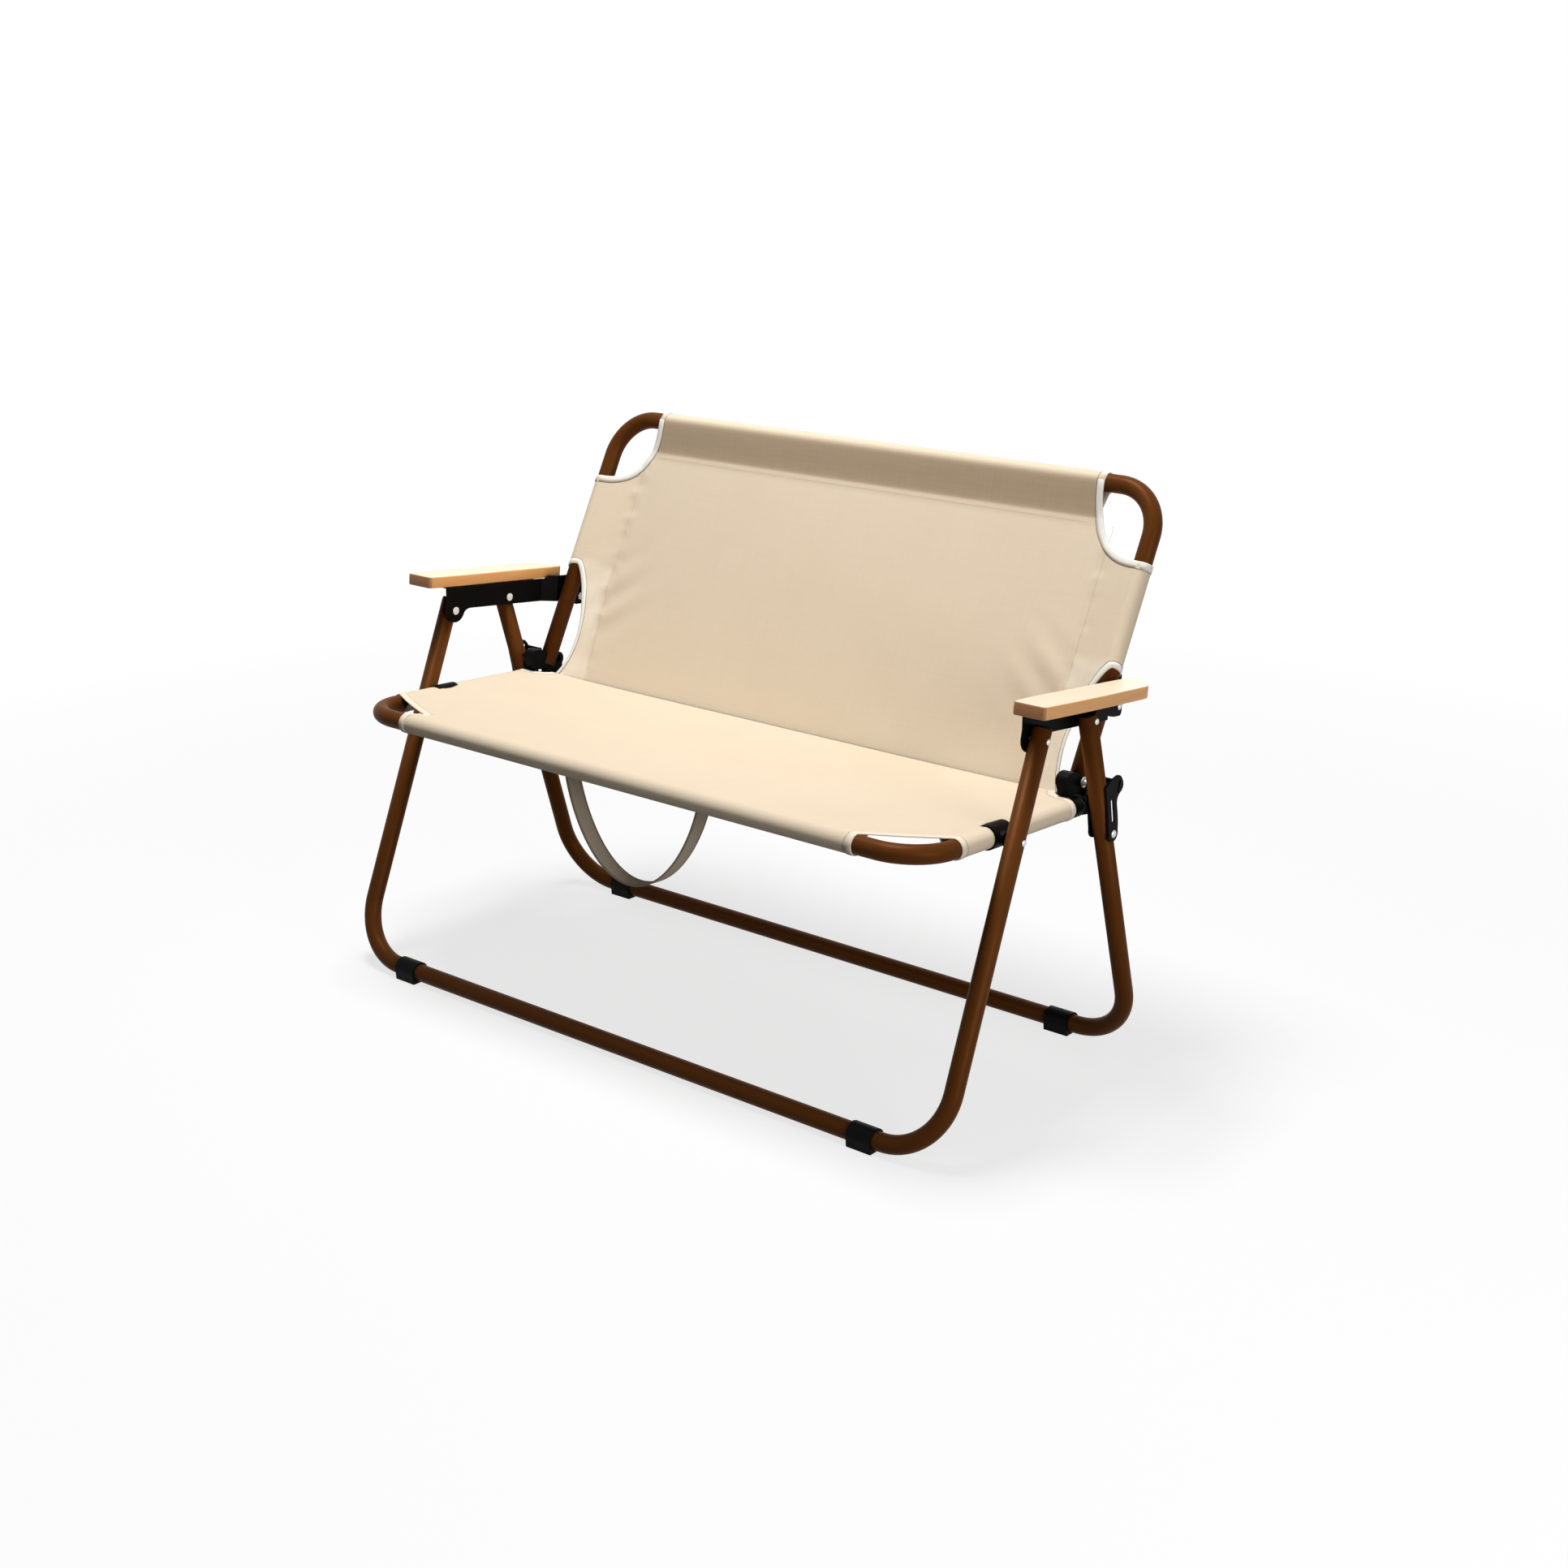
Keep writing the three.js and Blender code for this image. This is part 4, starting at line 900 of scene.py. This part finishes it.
def seat_up(u, v):
    """How high the seat's canvas lies over the tubes' centres, with its dip and ripples."""
    from_side = max(0.0, SEAT_HALF - abs(u))
    from_front = max(0.0, v + SEAT_FRONT)
    rear_tight = 1.0 - 0.45 * share((v - 0.02) / 0.16)
    side_ease = 1 - math.exp(-from_side / 0.055)
    front_ease = 1 - math.exp(-from_front / 0.05)
    dip = SEAT_DIP * rear_tight * side_ease * front_ease
    ripple = noise.noise(Vector((u * 9, v * 30, 1.7))) * 0.0007 * math.exp(-from_side / 0.09)
    return CLOTH_ON_TUBE - dip + ripple * min(1.0, from_side / 0.02)


def seat_lay(u, v):
    sign = -1.0 if u < 0 else 1.0
    x, y, z = u, v, seat_up(u, v)
    if abs(u) > SEAT_HALF:
        out, z = round_pocket(abs(u) - SEAT_HALF, lambda out: seat_up(SEAT_HALF + out, v))
        x = sign * (SEAT_HALF + out)
    elif v < -SEAT_FRONT:
        out, z = round_pocket(-SEAT_FRONT - v, lambda out: seat_up(u, -SEAT_FRONT - out))
        y = -SEAT_FRONT - out
    return seat_place @ Vector((x, y, z))


seat_mesh, seat_area = lay_cloth(
    SEAT_HALF + SEAT_WRAP, -SEAT_FRONT - SEAT_WRAP, SEAT_REAR, seat_margin, seat_lay,
    lambda u, v: 0.0)
seat_tape = bmesh.new()
seat_thread = bmesh.new()
wrapped_front = -SEAT_FRONT - CLOTH_ON_TUBE * 4.0
front_sleeve = [(FRONT_POCKET, wrapped_front + i * EDGE_STEP) for i in range(17)]
side_sleeve = [(CORNER_X + i * EDGE_STEP, SIDE_POCKET_START) for i in range(1, 18)]
right_edge = front_sleeve + [
    (CORNER_X - out, -SEAT_FRONT + up)
    for out, up in oval_arc(CORNER_WIDE, CORNER_LONG, CORNER_POWER, 30)] + side_sleeve
pocket_end = Vector((FRONT_POCKET, -SEAT_FRONT))
sleeve_start = Vector((CORNER_X, SIDE_POCKET_START))
bent_in = [pocket_end.lerp(Vector(LEFT_APEX), i / 7) for i in range(7)]
bent_out = [Vector(LEFT_APEX).lerp(sleeve_start, i / 34) for i in range(35)]
left_edge = front_sleeve + bent_in + bent_out + side_sleeve
rear_edge = [(REAR_X - out, REAR_CUT_END - up)
             for out, up in oval_arc(REAR_CUT_WIDE, REAR_CUT_LONG, 2.0, 16, 0.12)]
rear_edge += [(REAR_X + i * EDGE_STEP, SIDE_POCKET_END) for i in range(1, 13)]
for edge, signs in ((left_edge, (-1,)), (right_edge, (1,)), (rear_edge, (-1, 1))):
    trim_edge(edge, seat_lay, seat_margin, seat_tape, seat_thread, lambda v: SEAT_TAPE,
              signs=signs)
seat_binding = trim_piece("seat_binding", seat_tape, HEM_TAPE, "seat")
seat_stitches = trim_piece("seat_binding_stitches", seat_thread, TAN_THREAD, "seat")
finish_cloth("seat_sling", seat_mesh, "seat", "seat_cloth",
             seat_area)

# Back sling: a deep pocket over the top bar closed by a double seam, short pockets down the
# back tubes, round shoulder cut-outs, and long side openings for the armrests. The openings
# and the side seams were sewn 8 mm off the middle, towards +X.
BACK_DIP = 0.0135
TOP_SEAM = 0.049
TOP_TURN = 3.4
TOP_RUN = 0.046
TOP_WRAP = CLOTH_ON_TUBE * 3.7 + 0.062
DOUBLE_SEAM_GAP = 0.006
DOUBLE_SEAM_START = -0.371
SIDE_SEAM = 0.063
SIDE_SEAM_TOP = 0.056
SEAM_STEP = 0.01
SHOULDER_X = 0.470
SHOULDER_Z = 0.010
SHOULDER_WIDE = 0.089
SHOULDER_LONG = 0.1085
SHOULDER_POWER = 2.6
SHOULDER_TAPE = 0.0082
SIDE_SHIFT = 0.008
ARM_OPENING_TOP = 0.2345
ARM_X = 0.463
ARM_SLEEVE = 0.045
ARM_MIDDLE = 0.337
ARM_WIDE = 0.037
ARM_RISE = ARM_MIDDLE - ARM_OPENING_TOP
ARM_RISE_POWER = 1.4
ARM_FALL = 0.078
ARM_FALL_POWER = 2.2
BACK_LOW = 0.405


def arm_top(beside):
    """How far down the arm opening starts on the sleeve, where it slants round the tube."""
    return ARM_OPENING_TOP + 0.006 * min(1.0, (beside - ARM_X) / 0.022) ** 2


def seam_at(drop):
    """How far from the middle the side seam runs. It draws in beside the arm opening."""
    return BACK_HALF - SIDE_SEAM - 0.1 * max(0.0, drop - 0.26)


def back_margin(u, v):
    beside = abs(u - SIDE_SHIFT)
    u = abs(u)
    drop = -v
    if u > SHOULDER_X:
        shoulder = drop - (SHOULDER_LONG - SHOULDER_Z)
    elif v > SHOULDER_Z:
        shoulder = SHOULDER_X - SHOULDER_WIDE - u
    else:
        shoulder = oval(SHOULDER_X - u, SHOULDER_Z - v, SHOULDER_WIDE, SHOULDER_LONG,
                        SHOULDER_POWER)
    if beside > ARM_X:
        opening = arm_top(beside) - drop
    elif drop < ARM_MIDDLE:
        opening = oval(ARM_X - beside, ARM_MIDDLE - drop, ARM_WIDE, ARM_RISE, ARM_RISE_POWER)
    else:
        opening = oval(ARM_X - beside, drop - ARM_MIDDLE, ARM_WIDE, ARM_FALL, ARM_FALL_POWER)
    return min(shoulder, opening, BACK_LOW - drop, BACK_HALF + BACK_WRAP - u, TOP_WRAP - v)


def ramp(distance, reach):
    t = share(distance / reach)
    return t - 0.12 * math.sin(2 * math.pi * t) / (2 * math.pi)


def swell(away, reach):
    """1 where away is nothing, falling off on both sides over about this reach."""
    return math.exp(-(away / reach) ** 2)


def back_up(u, v):
    """How far the back's canvas lies before the tubes' centres: dip, seams, puckers, folds."""
    drop = max(0.0, -v)
    from_side = max(0.0, BACK_HALF - abs(u))
    dip = BACK_DIP * ramp(drop, TOP_SEAM) * ramp(from_side, SIDE_SEAM)
    ridge = 0.0011 * swell(drop - TOP_SEAM - 0.003, 0.0032) * min(1.0, from_side / 0.05)
    seam = swell(abs(u - SIDE_SHIFT) - seam_at(drop), 0.011) * min(1.0, drop / 0.06)
    pucker = noise.noise(Vector((u * 30, v * 75, 4.2))) * 0.0018 * seam
    drape = noise.noise(Vector((u * 3, v * 4, 9.1))) * 0.0012 * min(1.0, from_side / 0.1)
    fold = 0.0
    if drop > 0.18:
        slant = (abs(u) - 0.355) * 0.62 - (drop - 0.285) * 0.78
        reach = math.exp(-((abs(u) - 0.375) / 0.045) ** 2 - ((drop - 0.27) / 0.06) ** 2)
        fold = 0.0016 * math.cos(slant * 2 * math.pi / 0.045) * reach
    return CLOTH_ON_TUBE - dip + ridge + pucker + fold + drape * min(1.0, drop / 0.1)


def back_lay(u, v):
    sign = -1.0 if u < 0 else 1.0
    x, z, up = u, v, back_up(u, v)
    if abs(u) > BACK_HALF:
        out, up = round_pocket(abs(u) - BACK_HALF, lambda out: back_up(BACK_HALF + out, v))
        x = sign * (BACK_HALF + out)
    elif v > 0:
        bent = CLOTH_ON_TUBE * TOP_TURN
        turn = min(v, bent) / CLOTH_ON_TUBE
        z = CLOTH_ON_TUBE * math.sin(turn)
        up = CLOTH_ON_TUBE * math.cos(turn)
        spare = v - bent
        if spare > 0:
            run = min(spare, TOP_RUN)
            z += run * math.cos(TOP_TURN) - (spare - run)
            up = min(up - run * math.sin(TOP_TURN), back_up(u, z) - LAYER)
    return back_place @ Vector((x, -up, z))


def back_painted_light(u, v):
    """Above 0, the painted highlight: paler canvas on the side pockets below the arm opening.
    Below 0, the painted shade: darker canvas on the top pocket's band, from its seam up to the
    top bar."""
    ragged = noise.noise(Vector((u * 40, v * 55, 2.2))) * 0.006
    inside = (abs(u - SIDE_SHIFT) - seam_at(-v) + ragged) / 0.006
    below = (-v - ARM_OPENING_TOP + 0.010 + ragged) / 0.012
    mottle = 0.62 + 0.38 * noise.noise(Vector((u * 25, v * 30, 7.7)))
    painted_highlight = share(inside) * share(below) * mottle
    top_pocket_shade = share((TOP_SEAM + 0.002 + v) / 0.004) * share((0.004 - v) / 0.008)
    return painted_highlight - 0.75 * top_pocket_shade


back_mesh, back_area = lay_cloth(
    BACK_HALF + BACK_WRAP, -BACK_LOW, TOP_WRAP, back_margin, back_lay, back_painted_light)
back_tape = bmesh.new()
back_thread = bmesh.new()
shoulder_edge = [(SHOULDER_X - SHOULDER_WIDE, CLOTH_ON_TUBE * 4.0 - i * EDGE_STEP)
                 for i in range(14)]
shoulder_edge += [(SHOULDER_X - out, SHOULDER_Z - down) for out, down in oval_arc(
    SHOULDER_WIDE, SHOULDER_LONG, SHOULDER_POWER, 30)]
shoulder_edge += [(SHOULDER_X + i * 0.004, SHOULDER_Z - SHOULDER_LONG) for i in range(1, 13)]
sleeve_steps = [ARM_X + ARM_SLEEVE - i * EDGE_STEP for i in range(15)]
opening_edge = [(beside, -arm_top(beside)) for beside in sleeve_steps]
opening_edge += [(ARM_X - out, -ARM_MIDDLE + up)
                 for out, up in oval_arc(ARM_WIDE, ARM_RISE, ARM_RISE_POWER, 26)[::-1]]
opening_edge += [(ARM_X - out, -ARM_MIDDLE - down)
                 for out, down in oval_arc(ARM_WIDE, ARM_FALL, ARM_FALL_POWER, 26)[1:]
                 if ARM_MIDDLE + down < BACK_LOW - 0.0005]


def opening_tape(v):
    """The opening's tape rolls to the rear of the canvas lower down, so less of it shows."""
    return 0.0066 - 0.0036 * share((-v - 0.27) / 0.05)


trim_edge(shoulder_edge, back_lay, back_margin, back_tape, back_thread,
          lambda v: SHOULDER_TAPE)
trim_edge(opening_edge, back_lay, back_margin, back_tape, back_thread, opening_tape,
          SIDE_SHIFT)
back_seams = bmesh.new()
side_drops = [SIDE_SEAM_TOP + i * SEAM_STEP for i in range(34)]
for sign in (-1, 1):
    sew(back_seams, back_lay,
        [Vector((sign * seam_at(drop) + SIDE_SHIFT, -drop)) for drop in side_drops])
for drop in (TOP_SEAM, TOP_SEAM + DOUBLE_SEAM_GAP):
    sew(back_seams, back_lay,
        [Vector((DOUBLE_SEAM_START + i * SEAM_STEP, -drop)) for i in range(75)])
back_binding = trim_piece("back_binding", back_tape, IVORY, "back")
back_stitches = trim_piece("back_binding_stitches", back_thread, DARK_THREAD_AND_EDGE_SHADE, "back")
back_seam_stitches = trim_piece("back_seam_stitches", back_seams, TAN_THREAD, "back")
finish_cloth("back_sling", back_mesh, "back", "back_cloth",
             back_area)

# Carry strap: woven polyester webbing sewn to the underside of the seat, which hangs in a
# loop behind the front bar. Its two ends are flat tabs under the canvas.
STRAP_WIDTH = 0.026
STRAP_THICK = 0.002
STRAP_MIDDLE = -0.006
STRAP_HALF = 0.118
STRAP_DROP = 0.151
STRAP_Y = 0.050 - SEAT_FRONT
STRAP_TAB = 0.030
STRAP_COLUMNS = 6
TAB_BEND = 0.004
TAB_STEPS = 6
LOOP_STEPS = 48
LOOP_FULLNESS = 1.3

webbing = Finish("beige_webbing")
web_place = webbing.node("UVMap", {"uv_map": "pattern"})
web_across = webbing.node("SeparateXYZ", None, {"Vector": web_place})
web_along = web_across.output("Y")
ribs = (web_across * (2 * math.pi / 0.0018)).wave() * 0.5 + 0.5
twill = web_along * (2 * math.pi / 0.0022) + web_across * (2 * math.pi / 0.0036)
picks = twill.wave() * 0.5 + 0.5
web_slub = webbing.noise(web_place, 300.0, 3.0)
selvedge = webbing.maths("ABSOLUTE", web_across) * (2 / STRAP_WIDTH)
selvedge = (selvedge - 0.72).clip(0.0, 0.2) * 4.0
web_tone = webbing.mix(picks * 0.4 + web_slub * 0.5, rgb(0.62, 0.52, 0.39),
                       rgb(0.46, 0.38, 0.28))
STRAP = webbing.surface(
    bump=ribs * 0.6 + picks * 0.4, depth=0.0003,
    Base_Color=webbing.mix(selvedge, web_tone, rgb(0.26, 0.21, 0.155)),
    Roughness=web_slub * 0.1 + 0.8)


def strap_route():
    """The strap's centre line in the seat's frame, from one sewn tab round to the other."""
    half = []
    end_x = STRAP_MIDDLE + STRAP_HALF
    tab_up = seat_up(end_x + STRAP_TAB, STRAP_Y) - STRAP_THICK / 2 - LAYER
    for i in range(TAB_STEPS + 1):
        out = STRAP_TAB * (TAB_STEPS - i) / TAB_STEPS
        half.append(Vector((end_x + TAB_BEND + out, 0, tab_up)))
    for i in range(1, TAB_STEPS):
        turn = i / TAB_STEPS * math.pi / 2
        half.append(Vector((end_x + TAB_BEND * (1 - math.sin(turn)), 0,
                            tab_up - TAB_BEND * (1 - math.cos(turn)))))
    loop = []
    for i in range(LOOP_STEPS + 1):
        turn = -math.pi / 2 + i / LOOP_STEPS * math.pi
        drop = STRAP_DROP * max(0.0, math.cos(turn)) ** LOOP_FULLNESS
        loop.append(Vector((STRAP_MIDDLE + STRAP_HALF * math.sin(turn), 0,
                            tab_up - TAB_BEND - drop)))
    mirrored = [Vector((2 * STRAP_MIDDLE - point.x, 0, point.z)) for point in half]
    return mirrored + loop + half[::-1]


route = strap_route()
walked = [0.0]
for first, second in zip(route, route[1:]):
    walked.append(walked[-1] + (second - first).length)


def route_step(vertex):
    """Which step of the route a vertex of the flat grid belongs to."""
    return round((vertex.co.y + 0.5) * (len(route) - 1))


strap_mesh = bmesh.new()
bmesh.ops.create_grid(strap_mesh, x_segments=STRAP_COLUMNS, y_segments=len(route) - 1, size=0.5)
strap_uv = strap_mesh.loops.layers.uv.new("pattern")
for face in strap_mesh.faces:
    face.smooth = True
    for loop in face.loops:
        loop[strap_uv].uv = (loop.vert.co.x * STRAP_WIDTH, walked[route_step(loop.vert)])
for vertex in strap_mesh.verts:
    beside = Vector((0, STRAP_Y + vertex.co.x * STRAP_WIDTH, 0))
    vertex.co = seat_place @ (route[route_step(vertex)] + beside)
bmesh.ops.recalc_face_normals(strap_mesh, faces=strap_mesh.faces)
carry_strap = keep_piece("woven_carry_strap", strap_mesh, STRAP, "seat", "webbing",
                         "carry_strap")
give_thickness(carry_strap, "webbing", STRAP_THICK)
